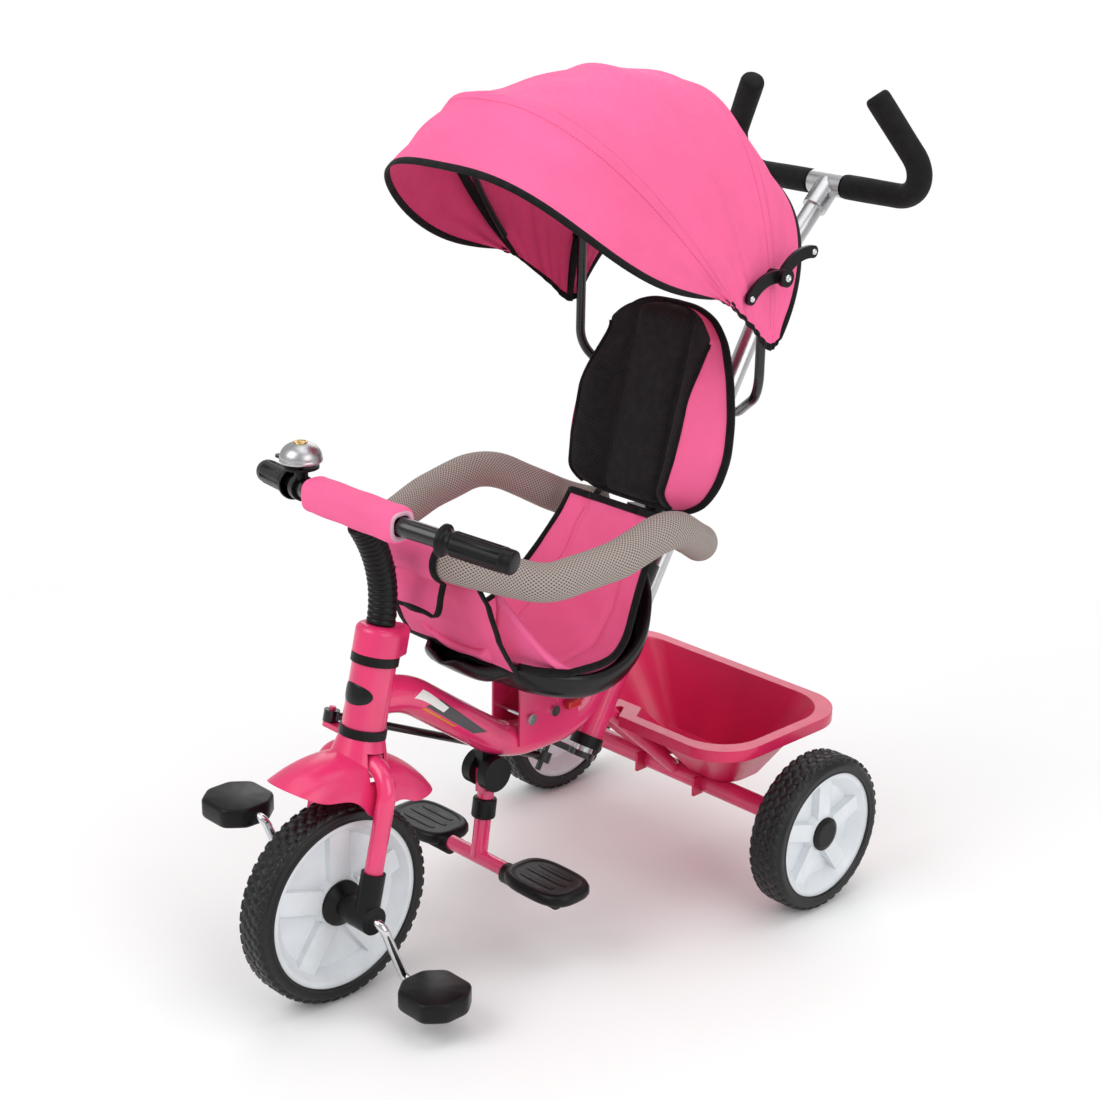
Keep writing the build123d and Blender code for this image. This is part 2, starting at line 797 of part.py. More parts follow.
# Socket of the push pole, with its collar and cap
with BuildPart() as pole_socket:
    post(pole, 0, socket_len, socket_r)
    post(pole, 0, socket_len, pole_r + run_gap, mode=Mode.SUBTRACT)
    add(main_core.part, mode=Mode.SUBTRACT)
keep(pole_socket, "pole_socket")

with BuildPart() as socket_collar:
    post(pole, socket_len, socket_len + collar_h, collar_r)
    post(pole, socket_len, socket_len + collar_h, pole_r + run_gap, mode=Mode.SUBTRACT)
    bent(main_path, main_bends, main_r + seat_gap, mode=Mode.SUBTRACT)
keep(socket_collar, "socket_collar")

with BuildPart() as socket_cap:
    post(pole, -cap_h, 0, cap_r)
    post(pole, -cap_h, 0, pole_r + run_gap, mode=Mode.SUBTRACT)
keep(socket_cap, "socket_cap")

with BuildPart() as rear_stay:
    straight(at(pole, 0, 0, stay_at), (0, rear_axle_y, rear_wheel_r), stay_r)
    post(pole, 0, socket_len, socket_r, mode=Mode.SUBTRACT)
    cross(rear_axle_y, rear_wheel_r, -axle_tube_half, axle_tube_half, axle_tube_r, mode=Mode.SUBTRACT)
keep(rear_stay, "rear_stay")

# Push pole with its cross bar, tee and grips
push_middle = Vector(0, push_y, push_z)
pole_path = (at(pole, 0, 0, -pole_below), at(pole, 0, 0, pole_bend_at), push_middle)
push_path = tuple((side * x, y, z) for side, x, y, z in (
    (-1, push_end_x, push_end_y, push_end_z), (-1, push_corner_x, push_y, push_z),
    (1, push_corner_x, push_y, push_z), (1, push_end_x, push_end_y, push_end_z)))
with BuildPart() as push_pole:
    bent(pole_path, pole_bend, pole_r)
    bent(pole_path, pole_bend, pole_r - pole_wall, mode=Mode.SUBTRACT)
    bent(push_path, push_bend, push_r)
    bent(push_path, push_bend, push_r - push_wall, mode=Mode.SUBTRACT)
keep(push_pole, "push_pole")

pole_leg = (push_middle - Vector(*pole_path[1])).normalized()
with BuildPart() as push_tee:
    cross(push_y, push_z, -push_grip_from + seat_gap, push_grip_from - seat_gap, tee_r)
    straight(push_middle - pole_leg * tee_len, push_middle, tee_r + 1)
    cross(push_y, push_z, -push_grip_from, push_grip_from, push_r + run_gap, mode=Mode.SUBTRACT)
    straight(push_middle - pole_leg * (tee_len + 1), push_middle, pole_r + run_gap, mode=Mode.SUBTRACT)
keep(push_tee, "push_tee")

with BuildPart() as push_grips:
    for side in (1, -1):
        corner = Vector(side * push_corner_x, push_y, push_z)
        end = Vector(side * push_end_x, push_end_y, push_end_z)
        rise = (end - corner).normalized()
        start = Vector(side * push_grip_from, push_y, push_z)
        bent((start, corner, end + rise * push_grip_cap), push_bend, push_grip_r)
        bent((start, corner, end + rise * seat_gap), push_bend, push_r + seat_gap, mode=Mode.SUBTRACT)
keep(push_grips, "push_grips")

# Steering link: lever under the pole's foot and a rod to the fork's arm; its rear eye is loose
lever_low = -pole_below
with BuildPart() as pole_lever:
    with BuildSketch(pole.offset(lever_low)):
        with Locations((-arm_len / 2, 0)):
            SlotCenterToCenter(arm_len, lever_w)
        Circle(pole_r + 5)
    extrude(amount=lever_h)
    post(pole, lever_low, lever_low - lever_pin_len, link_pin_r, x=-arm_len)
    post(pole, lever_low, lever_low + lever_h, pole_r + run_gap, mode=Mode.SUBTRACT)
keep(pole_lever, "pole_lever")

eye_z = arm_z + arm_t + seat_gap
front_eye = at(steer, -arm_len, 0, eye_z + link_eye_h / 2)
rear_eye = at(pole, -arm_len, 0, lever_low - lever_pin_len / 2)
link_run = (rear_eye - front_eye).normalized()
with BuildPart() as tie_rod:
    straight(front_eye + link_run * (link_eye_r - 1), rear_eye - link_run * (link_pin_r + link_slack),
             link_r)
    post(steer, eye_z, eye_z + link_eye_h, link_eye_r, x=-arm_len)
    post(steer, eye_z, eye_z + link_eye_h, link_pin_r + run_gap, x=-arm_len, mode=Mode.SUBTRACT)
    eye_plane = Plane(origin=rear_eye, x_dir=(1, 0, 0), z_dir=pole.z_dir)
    post(eye_plane, -link_eye_h / 2, link_eye_h / 2, link_pin_r + link_slack + 4)
    post(eye_plane, -link_eye_h, link_eye_h, link_pin_r + link_slack, mode=Mode.SUBTRACT)
keep(tie_rod, "tie_rod")

# Seat


def seat_outline(inset):
    """Half of the seat's plan, from the nose to the rear edge, then mirrored."""
    half = seat_half_w - inset
    nose = bracket_front - 106 + inset
    rear = bracket_rear + 84 - inset
    with BuildSketch() as plan:
        with BuildLine():
            Spline((0, nose), (half * 0.34, nose + 12), (half * 0.57, nose + 48), (half * 0.9, nose + 92),
                   (half, nose + 150), (half * 0.92, rear - 60), (half * 0.45, rear - 10), (0, rear),
                   tangents=((1, 0), (-1, 0)))
            Line((0, rear), (0, nose))
        make_face()
        mirror(about=Plane.YZ)
    return plan.sketch


def seat_side(lift, high):
    """Side view of the seat between its underside, raised by lift, and a height above it."""
    under = ((-204, 374), (-150, 345), (-90, 329), (-22, 331), (28, 357), (64, 402), (90, 452))
    low = [(y, z + lift) for y, z in under]
    top = [(y - high * 0.35 * share / len(under), z + lift + high) for share, (y, z) in enumerate(under)]
    with BuildSketch(Plane.YZ.offset(-seat_half_w - 5)) as section:
        with BuildLine():
            Spline(*low)
            Line(low[-1], top[-1])
            Spline(*reversed(top))
            Line(top[0], low[0])
        make_face()
    extrude(section.sketch, amount=2 * seat_half_w + 10, mode=Mode.INTERSECT)


seat_reach = 520
seat_rim = 38
with BuildPart() as seat_bowl:
    extrude(seat_outline(seat_wall), amount=seat_reach)
    seat_side(seat_floor, 3 * seat_rim)
with BuildPart() as seat_block:
    extrude(seat_outline(0), amount=seat_reach)
    seat_side(0, 3 * seat_rim)
with BuildPart() as seat_shell:
    extrude(seat_outline(0), amount=seat_reach)
    seat_side(0, seat_rim)
    add(seat_bowl.part, mode=Mode.SUBTRACT)
keep(seat_shell, "seat_shell")

with BuildPart() as seat_cushion:
    extrude(seat_outline(seat_wall + 1), amount=seat_reach)
    seat_side(seat_floor + seat_gap, cushion_t)
    with BuildSketch(Plane.YZ.offset(-seat_half_w * 0.6)):
        with BuildLine():
            Polyline((50, 432), (62, 437), (75, 488), cushion_top,
                     (cushion_top[0] - cushion_t, cushion_top[1] + 5), (40, 440), close=True)
        make_face()
    extrude(amount=seat_half_w * 1.2)
    add(seat_shell.part, mode=Mode.SUBTRACT)
keep(seat_cushion, "seat_cushion")

# Seat bracket, bolts and release button
bracket_half = main_r + seat_gap + bracket_wall
bracket_len = bracket_rear - bracket_front
bracket_y = (bracket_rear + bracket_front) / 2
bracket_low = main_belly_z + bracket_drop
with BuildPart() as seat_bracket:
    with Locations((0, bracket_y, (bracket_low + bracket_top) / 2)):
        Box(2 * bracket_half, bracket_len, bracket_top - bracket_low)
    with Locations((0, bracket_y, (bracket_low + bracket_top) / 2 - 2 * bracket_wall)):
        Box(2 * (bracket_half - bracket_wall), bracket_len, bracket_top - bracket_low - 4 * bracket_wall,
            mode=Mode.SUBTRACT)
    add(seat_block.part, mode=Mode.SUBTRACT)
    for y in bolt_y:
        cross(y, bolt_z, -bracket_half, bracket_half, bolt_r + run_gap, mode=Mode.SUBTRACT)
    cross(button_y, button_z, 0, bracket_half, button_stem_r + run_gap, mode=Mode.SUBTRACT)
keep(seat_bracket, "seat_bracket")

with BuildPart() as seat_bolts:
    for y in bolt_y:
        cross(y, bolt_z, -bracket_half, bracket_half, bolt_r)
        for side in (1, -1):
            cross(y, bolt_z, side * bracket_half, side * (bracket_half + bolt_head_h), bolt_head_r)
keep(seat_bolts, "seat_bolts")

button_face = bracket_half + button_travel + seat_gap
with BuildPart() as seat_button:
    cross(button_y, button_z, bracket_half - bracket_wall - 2 * button_travel, button_face, button_stem_r)
    with Locations((button_face + button_size[0] / 2, button_y, button_z)):
        Box(*button_size)
    fillet(seat_button.faces().sort_by(Axis.X)[-1].edges(), 2.5)
keep(seat_button, "seat_button")


# Backrest
lean = radians(back_lean)
back = Plane(origin=(0, back_y, back_z), x_dir=(1, 0, 0), z_dir=(0, -cos(lean), sin(lean)))


def back_outline(inset, depth):
    """Outline of the backrest: wide wings low down and a narrower rounded top."""
    top = back_h - inset
    half = ((back_low_half - inset, inset), (back_half_w - inset, back_wide_at),
            (back_waist_half - inset, back_waist_at), (back_top_half_w - inset, top))
    with BuildSketch(back.offset(-depth)) as plan:
        with BuildLine():
            Polyline(*half, *((-x, y) for x, y in reversed(half)), close=True)
        make_face()
        levels = plan.vertices().group_by(Axis.Y)
        fillet(levels[0] + levels[-1], back_corner - inset)
        turns = plan.vertices().filter_by_position(Axis.Y, back_wide_at - 1, back_waist_at + 1)
        fillet(turns.filter_by_position(Axis.X, -back_half_w, -back_waist_half + inset)
               + turns.filter_by_position(Axis.X, back_waist_half - inset, back_half_w), back_corner / 2)
    return plan.sketch


with BuildPart() as backrest_pad:
    extrude(back_outline(0, back_pad_t), amount=back_pad_t)
keep(backrest_pad, "backrest_pad")

board_back = back_pad_t + seat_gap + back_board_t
with BuildPart() as backrest_board:
    extrude(back_outline(back_board_in, board_back), amount=back_board_t)
keep(backrest_board, "backrest_board")

# Post: out of the main tube's end, bent up behind the backrest
post_deep = board_back + seat_gap + post_r
post_low = at(back, 0, 0, -post_deep)
post_up_run = back.y_dir
post_gap = post_low - main_leg.origin
across = leg_run.Y * post_up_run.Z - leg_run.Z * post_up_run.Y
meet = (post_gap.Y * post_up_run.Z - post_gap.Z * post_up_run.Y) / across
post_path = (at(main_leg, 0, 0, main_top - post_down), at(main_leg, 0, 0, meet),
             at(back, 0, post_up, -post_deep))
with BuildPart() as backrest_post:
    bent(post_path, post_bend, post_r)
    bent(post_path, post_bend, post_r - 2, mode=Mode.SUBTRACT)
keep(backrest_post, "backrest_post")

with BuildPart() as post_collar:
    post(main_leg, main_top - post_collar_low, main_top + post_collar_high, post_collar_r)
    post(main_leg, main_top - post_collar_low, main_top, main_r + run_gap, mode=Mode.SUBTRACT)
    post(main_leg, main_top, main_top + post_collar_high, post_r + run_gap, mode=Mode.SUBTRACT)
    post(pole, 0, pole_bend_at, pole_r + 1, mode=Mode.SUBTRACT)
keep(post_collar, "post_collar")

# Safety guard: bent tube in a foam sleeve, held by a clamp on the post
clamp_at = Vector(*at(back, 0, guard_clamp_up, -post_deep))
guard_half = (guard_corner, guard_side, guard_hump, guard_back)
guard_left = [(guard_end_x, clamp_at.Y + 4, clamp_at.Z)] + [point for point in reversed(guard_half)]
guard_left = guard_left + [(guard_front_half, guard_front_y, guard_front_z)]
guard_points = guard_left + [(-x, y, z) for x, y, z in reversed(guard_left)]
guard_radii = tuple(reversed(guard_bends)) + guard_bends
with BuildPart() as guard_tube:
    bent(guard_points, guard_radii, guard_tube_r)
keep(guard_tube, "guard_tube")

foam_run = Vector(*guard_points[1]) - Vector(*guard_points[0])
foam_start = Vector(*guard_points[0]) + foam_run.normalized() * guard_end_foam
foam_end = Vector(-foam_start.X, foam_start.Y, foam_start.Z)
with BuildPart() as guard_foam:
    bent([foam_start] + guard_points[1:-1] + [foam_end], guard_radii, foam_r, guard_tube_r + seat_gap)
keep(guard_foam, "guard_foam")

clamp_plane = Plane(origin=clamp_at, x_dir=(1, 0, 0), z_dir=post_up_run)
with BuildPart() as guard_clamp:
    with BuildSketch(clamp_plane.offset(-guard_clamp_size[2] / 2)) as block:
        Rectangle(guard_clamp_size[0], guard_clamp_size[1])
        fillet(block.vertices(), 8)
    extrude(amount=guard_clamp_size[2])
    clamp_side = guard_clamp_size[0] / 2
    cross(clamp_at.Y + guard_knob_y, clamp_at.Z, clamp_side - 1, clamp_side + guard_knob_h,
          guard_knob_r)
    bent(post_path, post_bend, post_r + run_gap, mode=Mode.SUBTRACT)
    add(guard_tube.part, mode=Mode.SUBTRACT)
keep(guard_clamp, "guard_clamp")

# Crotch panel: a fabric tongue from the seat to a loop round the guard's front
tongue_top = (guard_front_y + foam_r + seat_gap + crotch_t / 2, guard_front_z)
with BuildPart() as crotch_panel:
    cross(guard_front_y, guard_front_z, -crotch_half_w + 8, crotch_half_w - 8, foam_r + seat_gap + crotch_t)
    with BuildSketch(Plane.YZ.offset(-crotch_half_w)):
        with BuildLine():
            Polyline(crotch_low, (crotch_low[0] + crotch_t, crotch_low[1]),
                     (tongue_top[0] + crotch_t, tongue_top[1] - 20), tongue_top,
                     (tongue_top[0] - crotch_t, tongue_top[1] - 20), close=True)
        make_face()
    extrude(amount=2 * crotch_half_w)
    cross(guard_front_y, guard_front_z, -crotch_half_w, crotch_half_w, foam_r + seat_gap,
          mode=Mode.SUBTRACT)
keep(crotch_panel, "crotch_panel")


# Basket


def basket_outline(height, half_x, front, rear, corner, grow):
    """Plan of the basket at one height, with a groove for the stay in its front edge."""
    deep = front + groove_deep - grow
    narrow = groove_half + grow
    with BuildSketch(Plane.XY.offset(height)) as plan:
        with BuildLine():
            Polyline((-half_x + grow, rear - grow), (-half_x + grow, front + grow),
                     (-narrow - 14, front + grow), (-narrow, deep + 2 * grow),
                     (narrow, deep + 2 * grow), (narrow + 14, front + grow),
                     (half_x - grow, front + grow), (half_x - grow, rear - grow), close=True)
        make_face()
        ends = plan.vertices().group_by(Axis.X)
        fillet(ends[0] + ends[-1], corner)
    return plan.sketch


floor_z = rear_wheel_r + axle_tube_r + seat_gap
rim = (rim_half_x, rim_front, rim_rear, rim_corner)
floor = (floor_half_x, floor_front, floor_rear, floor_corner)
with BuildPart() as basket:
    loft((basket_outline(rim_z, *rim, 0), basket_outline(floor_z, *floor, 0)))
    extrude(basket_outline(rim_z - rim_drop, *rim, -rim_lip), amount=rim_drop)
    extrude(basket_outline(rim_z - rim_drop, *rim, -rim_lip + basket_wall), amount=rim_drop - basket_wall,
            mode=Mode.SUBTRACT)
    loft((basket_outline(rim_z, *rim, 0), basket_outline(floor_z, *floor, 0)))
    loft((basket_outline(rim_z, *rim, basket_wall),
          basket_outline(floor_z + basket_wall, *floor, basket_wall)), mode=Mode.SUBTRACT)
    for side in (1, -1):
        with Locations((side * fin_x, rear_axle_y, floor_z - fin_drop / 2)):
            Box(fin_t, 2 * fin_drop, fin_drop)
    cross(rear_axle_y, rear_wheel_r, -fin_x - fin_t, fin_x + fin_t, axle_tube_r + seat_gap,
          mode=Mode.SUBTRACT)
    straight(at(pole, 0, 0, stay_at), (0, rear_axle_y, rear_wheel_r), stay_r + 1, mode=Mode.SUBTRACT)
keep(basket, "basket")

# Footrest: lug and drum cheeks on the main tube, a tongue that folds back between them
with BuildPart() as footrest_lug:
    with Locations((0, drum_y, (drum_z + main_belly_z + 30) / 2)):
        Box(2 * tongue_half, 2 * tongue_r, main_belly_z + 30 - drum_z)
    cross(drum_y, drum_z, -tongue_half, tongue_half, tongue_r + 4 * seat_gap, mode=Mode.SUBTRACT)
    add(main_core.part, mode=Mode.SUBTRACT)
keep(footrest_lug, "footrest_lug")

with BuildPart() as footrest_cheeks:
    for side in (1, -1):
        cross(drum_y, drum_z, side * (tongue_half + seat_gap), side * drum_half, drum_r)
    cross(drum_y, drum_z, -drum_half, drum_half, drum_pin_r)
    bent(main_path, main_bends, main_r + seat_gap, mode=Mode.SUBTRACT)
keep(footrest_cheeks, "footrest_cheeks")

foot_top = (0, drum_y, drum_z - foot_stub_top)
foot_low = (0, foot_bar_y, foot_bar_z)
with BuildPart() as footrest_post:
    straight(foot_top, foot_low, foot_post_r)
    cross(foot_bar_y, foot_bar_z, -foot_bar_half, foot_bar_half, foot_bar_r)
    cross(drum_y, drum_z, -tongue_half, tongue_half, tongue_r)
    with Locations((0, drum_y, drum_z - foot_stub_top / 2)):
        Box(2 * tongue_half, 2 * tongue_r, foot_stub_top + 4)
    cross(drum_y, drum_z, -tongue_half, tongue_half, drum_pin_r + run_gap, mode=Mode.SUBTRACT)
keep(footrest_post, "footrest_post")

foot_run = Vector(*foot_low) - Vector(*foot_top)
foot_plane = Plane(origin=foot_top, x_dir=(1, 0, 0), z_dir=foot_run)
ring_at = (foot_top[2] - foot_ring_z) * foot_run.length / -foot_run.Z
with BuildPart() as footrest_ring:
    post(foot_plane, ring_at - foot_ring_h / 2, ring_at + foot_ring_h / 2, foot_ring_r)
    fillet(footrest_ring.edges(), 3)
    post(foot_plane, ring_at - foot_ring_h, ring_at + foot_ring_h, foot_post_r + run_gap,
         mode=Mode.SUBTRACT)
keep(footrest_ring, "footrest_ring")

plate_top_z = foot_bar_z + foot_bar_r + run_gap + 1
with BuildPart() as footplates:
    for side in (1, -1):
        with BuildSketch(Plane.XY.offset(plate_top_z)) as plan:
            with Locations((side * (plate_in + plate_out) / 2, plate_y)):
                Rectangle(plate_out - plate_in, 2 * plate_half_w)
            outer = plan.vertices().group_by(Axis.X)[-1 if side > 0 else 0]
            fillet(outer, plate_round)
        extrude(amount=-plate_t)
        cross(foot_bar_y, foot_bar_z, side * plate_in, side * (foot_bar_half + plate_neck),
              foot_bar_r + plate_neck)
        cross(foot_bar_y, foot_bar_z, side * plate_in, side * (foot_bar_half + seat_gap),
              foot_bar_r + run_gap, mode=Mode.SUBTRACT)
keep(footplates, "footplates")

# Canopy support: a bent rod clamped to the back of the post, with a pivot pin at each top end
rod_middle = at(back, 0, rod_saddle_up, -post_deep - post_r - seat_gap - rod_r)
rod_half = ((rod_half_x, canopy_pivot_y, canopy_pivot_z),
            (rod_half_x, rod_front_y, rod_middle.Z + rod_bend),
            (rod_bar_half, rod_middle.Y, rod_middle.Z))
saddle_plane = Plane(origin=at(back, 0, rod_saddle_up, -post_deep), x_dir=(1, 0, 0), z_dir=post_up_run)
with BuildPart() as canopy_support:
    bent([(-x, y, z) for x, y, z in rod_half] + [point for point in reversed(rod_half)], rod_bend, rod_r)
    post(saddle_plane, -rod_saddle_h / 2, rod_saddle_h / 2, post_r + rod_saddle_wall)
    post(saddle_plane, -rod_saddle_h, rod_saddle_h, post_r + run_gap, mode=Mode.SUBTRACT)
    with BuildSketch(saddle_plane.offset(-rod_saddle_h)):
        with Locations((0, -post_r - rod_saddle_wall)):
            Rectangle(4 * post_r, 2 * rod_saddle_wall)
    extrude(amount=2 * rod_saddle_h, mode=Mode.SUBTRACT)
    for side in (1, -1):
        cross(canopy_pivot_y, canopy_pivot_z, side * rod_half_x, side * (link_plate_in + link_plate_t),
              pivot_pin_r)
        with Locations((side * rod_half_x, canopy_pivot_y, canopy_pivot_z)):
            Sphere(rod_r)
keep(canopy_support, "canopy_support")


def arch(foot, crown, sag, turn):
    """Point of an arch that stands on two feet, by its angle from the crown."""
    share = cos(radians(turn))
    y = foot[1] + (crown[0] - foot[1]) * share
    z = foot[2] + (crown[1] - foot[2]) * share - sag * sin(radians(180 * share))
    return Vector(foot[0] * sin(radians(turn)), y, z)


arches = ((visor_foot, visor_crown, visor_sag), (front_bow_foot, front_bow_crown, 0),
          (apex_foot, apex_crown, 0), (crest_foot, crest_crown, 0), (rear_foot, rear_crown, 0))
turns = [90 - 180 * step / arch_steps for step in range(arch_steps + 1)]
fabric_points = [[arch(*form, turn) for turn in turns] for form in arches]
fabric_face = Face.make_surface_from_array_of_points(fabric_points)
with BuildPart() as canopy_fabric:
    thicken(fabric_face, amount=fabric_t)
    for side in (1, -1):
        cross(canopy_pivot_y, canopy_pivot_z, side * rod_half_x, side * overall_half_w,
              link_boss_r + seat_gap, mode=Mode.SUBTRACT)
keep(canopy_fabric, "canopy_fabric")

canopy_pivot = (canopy_pivot_y, canopy_pivot_z)
front_middle = ((link_front[0] + canopy_pivot_y) / 2, (link_front[1] + canopy_pivot_z) / 2 + link_rise)
rear_middle = ((link_rear[0] + canopy_pivot_y) / 2, (link_rear[1] + canopy_pivot_z) / 2 + link_rise)
front_arc = ThreePointArc(link_front, front_middle, canopy_pivot)
rear_arc = ThreePointArc(canopy_pivot, rear_middle, link_rear)
with BuildPart() as canopy_links:
    for side in (1, -1):
        with BuildSketch(Plane.YZ.offset(side * link_plate_in)):
            SlotArc(front_arc, link_plate_w)
            SlotArc(rear_arc, link_plate_w)
        extrude(amount=side * link_plate_t)
        cross(canopy_pivot_y, canopy_pivot_z, side * (rod_half_x + rod_r + seat_gap), side * link_plate_in,
              link_boss_r)
        cross(canopy_pivot_y, canopy_pivot_z, side * (link_plate_in + link_plate_t),
              side * (link_plate_in + link_plate_t + knob_h), knob_r)
        cross(canopy_pivot_y, canopy_pivot_z, side * rod_half_x,
              side * (link_plate_in + link_plate_t + seat_gap), pivot_pin_r + run_gap, mode=Mode.SUBTRACT)
keep(canopy_links, "canopy_links")

bow_in = bow_r + 4 * seat_gap
with BuildPart() as canopy_bows:
    for foot, crown, low in ((front_bow_foot, front_bow_crown, 8), (crest_foot, crest_crown, 24)):
        rise = Vector(0, crown[0] - foot[1], crown[1] - foot[2])
        bow_plane = Plane(origin=(0, foot[1], foot[2]), x_dir=(1, 0, 0), z_dir=Vector(1, 0, 0).cross(rise))
        with BuildLine(bow_plane) as bow:
            EllipticalCenterArc((0, 0), foot[0] - bow_in, rise.length - bow_in, start_angle=low,
                                arc_size=180 - 2 * low)
        with BuildSketch(Plane(origin=bow.line @ 0, z_dir=bow.line % 0)):
            Circle(bow_r)
        sweep(path=bow.line)
keep(canopy_bows, "canopy_bows")
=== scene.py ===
import json
import math

import bpy
import numpy as np
from mathutils import Matrix, Vector


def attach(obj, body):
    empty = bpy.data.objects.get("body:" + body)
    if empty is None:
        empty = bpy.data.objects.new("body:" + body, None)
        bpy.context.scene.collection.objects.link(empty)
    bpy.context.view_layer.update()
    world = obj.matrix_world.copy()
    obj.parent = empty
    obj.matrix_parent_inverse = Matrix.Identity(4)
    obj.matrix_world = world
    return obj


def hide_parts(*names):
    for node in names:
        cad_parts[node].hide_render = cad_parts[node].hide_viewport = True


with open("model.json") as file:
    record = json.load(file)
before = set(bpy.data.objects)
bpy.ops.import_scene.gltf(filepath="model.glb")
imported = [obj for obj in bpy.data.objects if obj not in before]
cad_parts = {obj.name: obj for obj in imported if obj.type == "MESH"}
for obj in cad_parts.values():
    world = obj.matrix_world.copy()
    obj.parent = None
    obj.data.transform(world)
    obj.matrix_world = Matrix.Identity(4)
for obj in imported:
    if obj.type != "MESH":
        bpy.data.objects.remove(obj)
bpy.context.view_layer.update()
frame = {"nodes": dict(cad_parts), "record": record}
nodes = frame["nodes"]
slot_of = {row["node"]: row["material_slot"] for row in frame["record"]["subparts"]}
mm = 0.001
mirror = np.array([-1, 1, 1])
both_sides = ((1, "left"), (-1, "right"))


# Materials

def linear(rgb):
    """A colour written in 0 to 255 as a shader takes it."""
    return tuple(
        (c / 255 / 12.92) if c / 255 <= 0.04045 else ((c / 255 + 0.055) / 1.055) ** 2.4
        for c in rgb
    ) + (1.0,)


def near(rgb, share):
    """A little darker or lighter than the colour."""
    return tuple(min(255, max(0, c * share)) for c in rgb)


class Shade:
    """One node material: a principled shader with its texture nodes."""

    def __init__(self, name, rough=0.5, metal=0.0, coat=0.0, sheen=0.0, specular=0.5):
        self.mat = bpy.data.materials.new(name)
        self.mat.use_nodes = True
        self.tree = self.mat.node_tree
        self.tree.nodes.clear()
        self.out = self.tree.nodes.new("ShaderNodeOutputMaterial")
        self.bsdf = self.tree.nodes.new("ShaderNodeBsdfPrincipled")
        self.link(self.bsdf.outputs[0], self.out.inputs[0])
        self.feed(self.bsdf, {"Roughness": rough, "Metallic": metal, "Coat Weight": coat, "Coat Roughness": 0.12,
                              "Sheen Weight": sheen, "Specular IOR Level": specular})
        self.normal = {}
        self.coords = {}

    def link(self, source, target):
        self.tree.links.new(source, target)

    def feed(self, made, inputs):
        """Gives a node's inputs a value each, or a link from another node's output."""
        for socket, value in inputs.items():
            if isinstance(value, bpy.types.NodeSocket):
                self.link(value, made.inputs[socket])
            else:
                made.inputs[socket].default_value = value

    def node(self, kind, inputs, **settings):
        made = self.tree.nodes.new(kind)
        for key, value in settings.items():
            setattr(made, key, value)
        self.feed(made, inputs)
        return made

    def coord(self, which="Object"):
        if which not in self.coords:
            self.coords[which] = self.node("ShaderNodeTexCoord", {}).outputs[which]
        return self.coords[which]

    def noise(self, scale, detail=3.0):
        tex = self.node("ShaderNodeTexNoise", {"Scale": scale, "Detail": detail, "Vector": self.coord()})
        return tex.outputs["Fac"]

    def cells(self, scale):
        return self.node("ShaderNodeTexVoronoi", {"Scale": scale, "Vector": self.coord()}).outputs["Distance"]

    def math(self, operation, *values):
        return self.node("ShaderNodeMath", dict(enumerate(values)), operation=operation).outputs[0]

    def span(self, value, low, high, to_low=0, to_high=1):
        ends = {"From Min": low, "From Max": high, "To Min": to_low, "To Max": to_high}
        return self.node("ShaderNodeMapRange", {"Value": value, **ends}).outputs["Result"]

    def lattice(self, pitch):
        """Staggered dots on the unrolled surface: 1 in the middle of a dot, 0 half way between."""
        u, v = self.node("ShaderNodeSeparateXYZ", {0: self.coord("UV")}).outputs[:2]
        waves = [self.math("SINE", self.math("MULTIPLY", self.math(slant, u, v), math.pi / pitch))
                 for slant in ("ADD", "SUBTRACT")]
        return self.math("ABSOLUTE", self.math("MULTIPLY", *waves))

    def tint(self, value, dark, light):
        mix = self.node("ShaderNodeMix", {"Factor": value, "A": linear(dark), "B": linear(light)}, data_type="RGBA")
        self.link(mix.outputs["Result"], self.bsdf.inputs["Base Color"])

    def rough(self, value, low, high):
        self.link(self.span(value, 0.3, 0.7, low, high), self.bsdf.inputs["Roughness"])

    def bend(self, made):
        """The node's normal takes the place of the last one."""
        self.normal = {"Normal": made.outputs["Normal"]}
        self.feed(self.bsdf, self.normal)

    def edge(self, radius):
        """Softens the look of sharp edges by this radius."""
        self.bend(self.node("ShaderNodeBevel", {"Radius": radius}, samples=4))

    def bump(self, value, strength, distance):
        height = {"Height": value, "Strength": strength, "Distance": distance}
        self.bend(self.node("ShaderNodeBump", {**height, **self.normal}))


def paint(name, rgb, rough=0.22, coat=0.6):
    s = Shade(name, rough=rough, coat=coat)
    s.tint(s.span(s.noise(14, 2), 0.35, 0.65), near(rgb, 0.95), near(rgb, 1.03))
    s.rough(s.noise(40), rough * 0.85, rough * 1.25)
    s.edge(1.0 * mm)
    s.bump(s.noise(420, 2), 0.06, 0.4 * mm)
    return s.mat


def plastic(name, rgb, rough=0.4, grain=900, depth=0.12, coat=0.0, specular=0.5):
    s = Shade(name, rough=rough, coat=coat, specular=specular)
    s.tint(s.span(s.noise(22), 0.35, 0.65), near(rgb, 0.97), near(rgb, 1.02))
    s.rough(s.noise(60, 4), rough * 0.92, rough * 1.12)
    s.edge(1.2 * mm)
    s.bump(s.noise(grain, 4), depth, 0.3 * mm)
    return s.mat


def metal(name, rgb, rough=0.25, streak=180):
    s = Shade(name, rough=rough, metal=1.0)
    s.tint(s.span(s.noise(30), 0.3, 0.7), near(rgb, 0.97), near(rgb, 1.02))
    s.rough(s.noise(streak, 5), rough * 0.9, rough * 1.12)
    s.bump(s.noise(streak * 6, 2), 0.02, 0.1 * mm)
    return s.mat


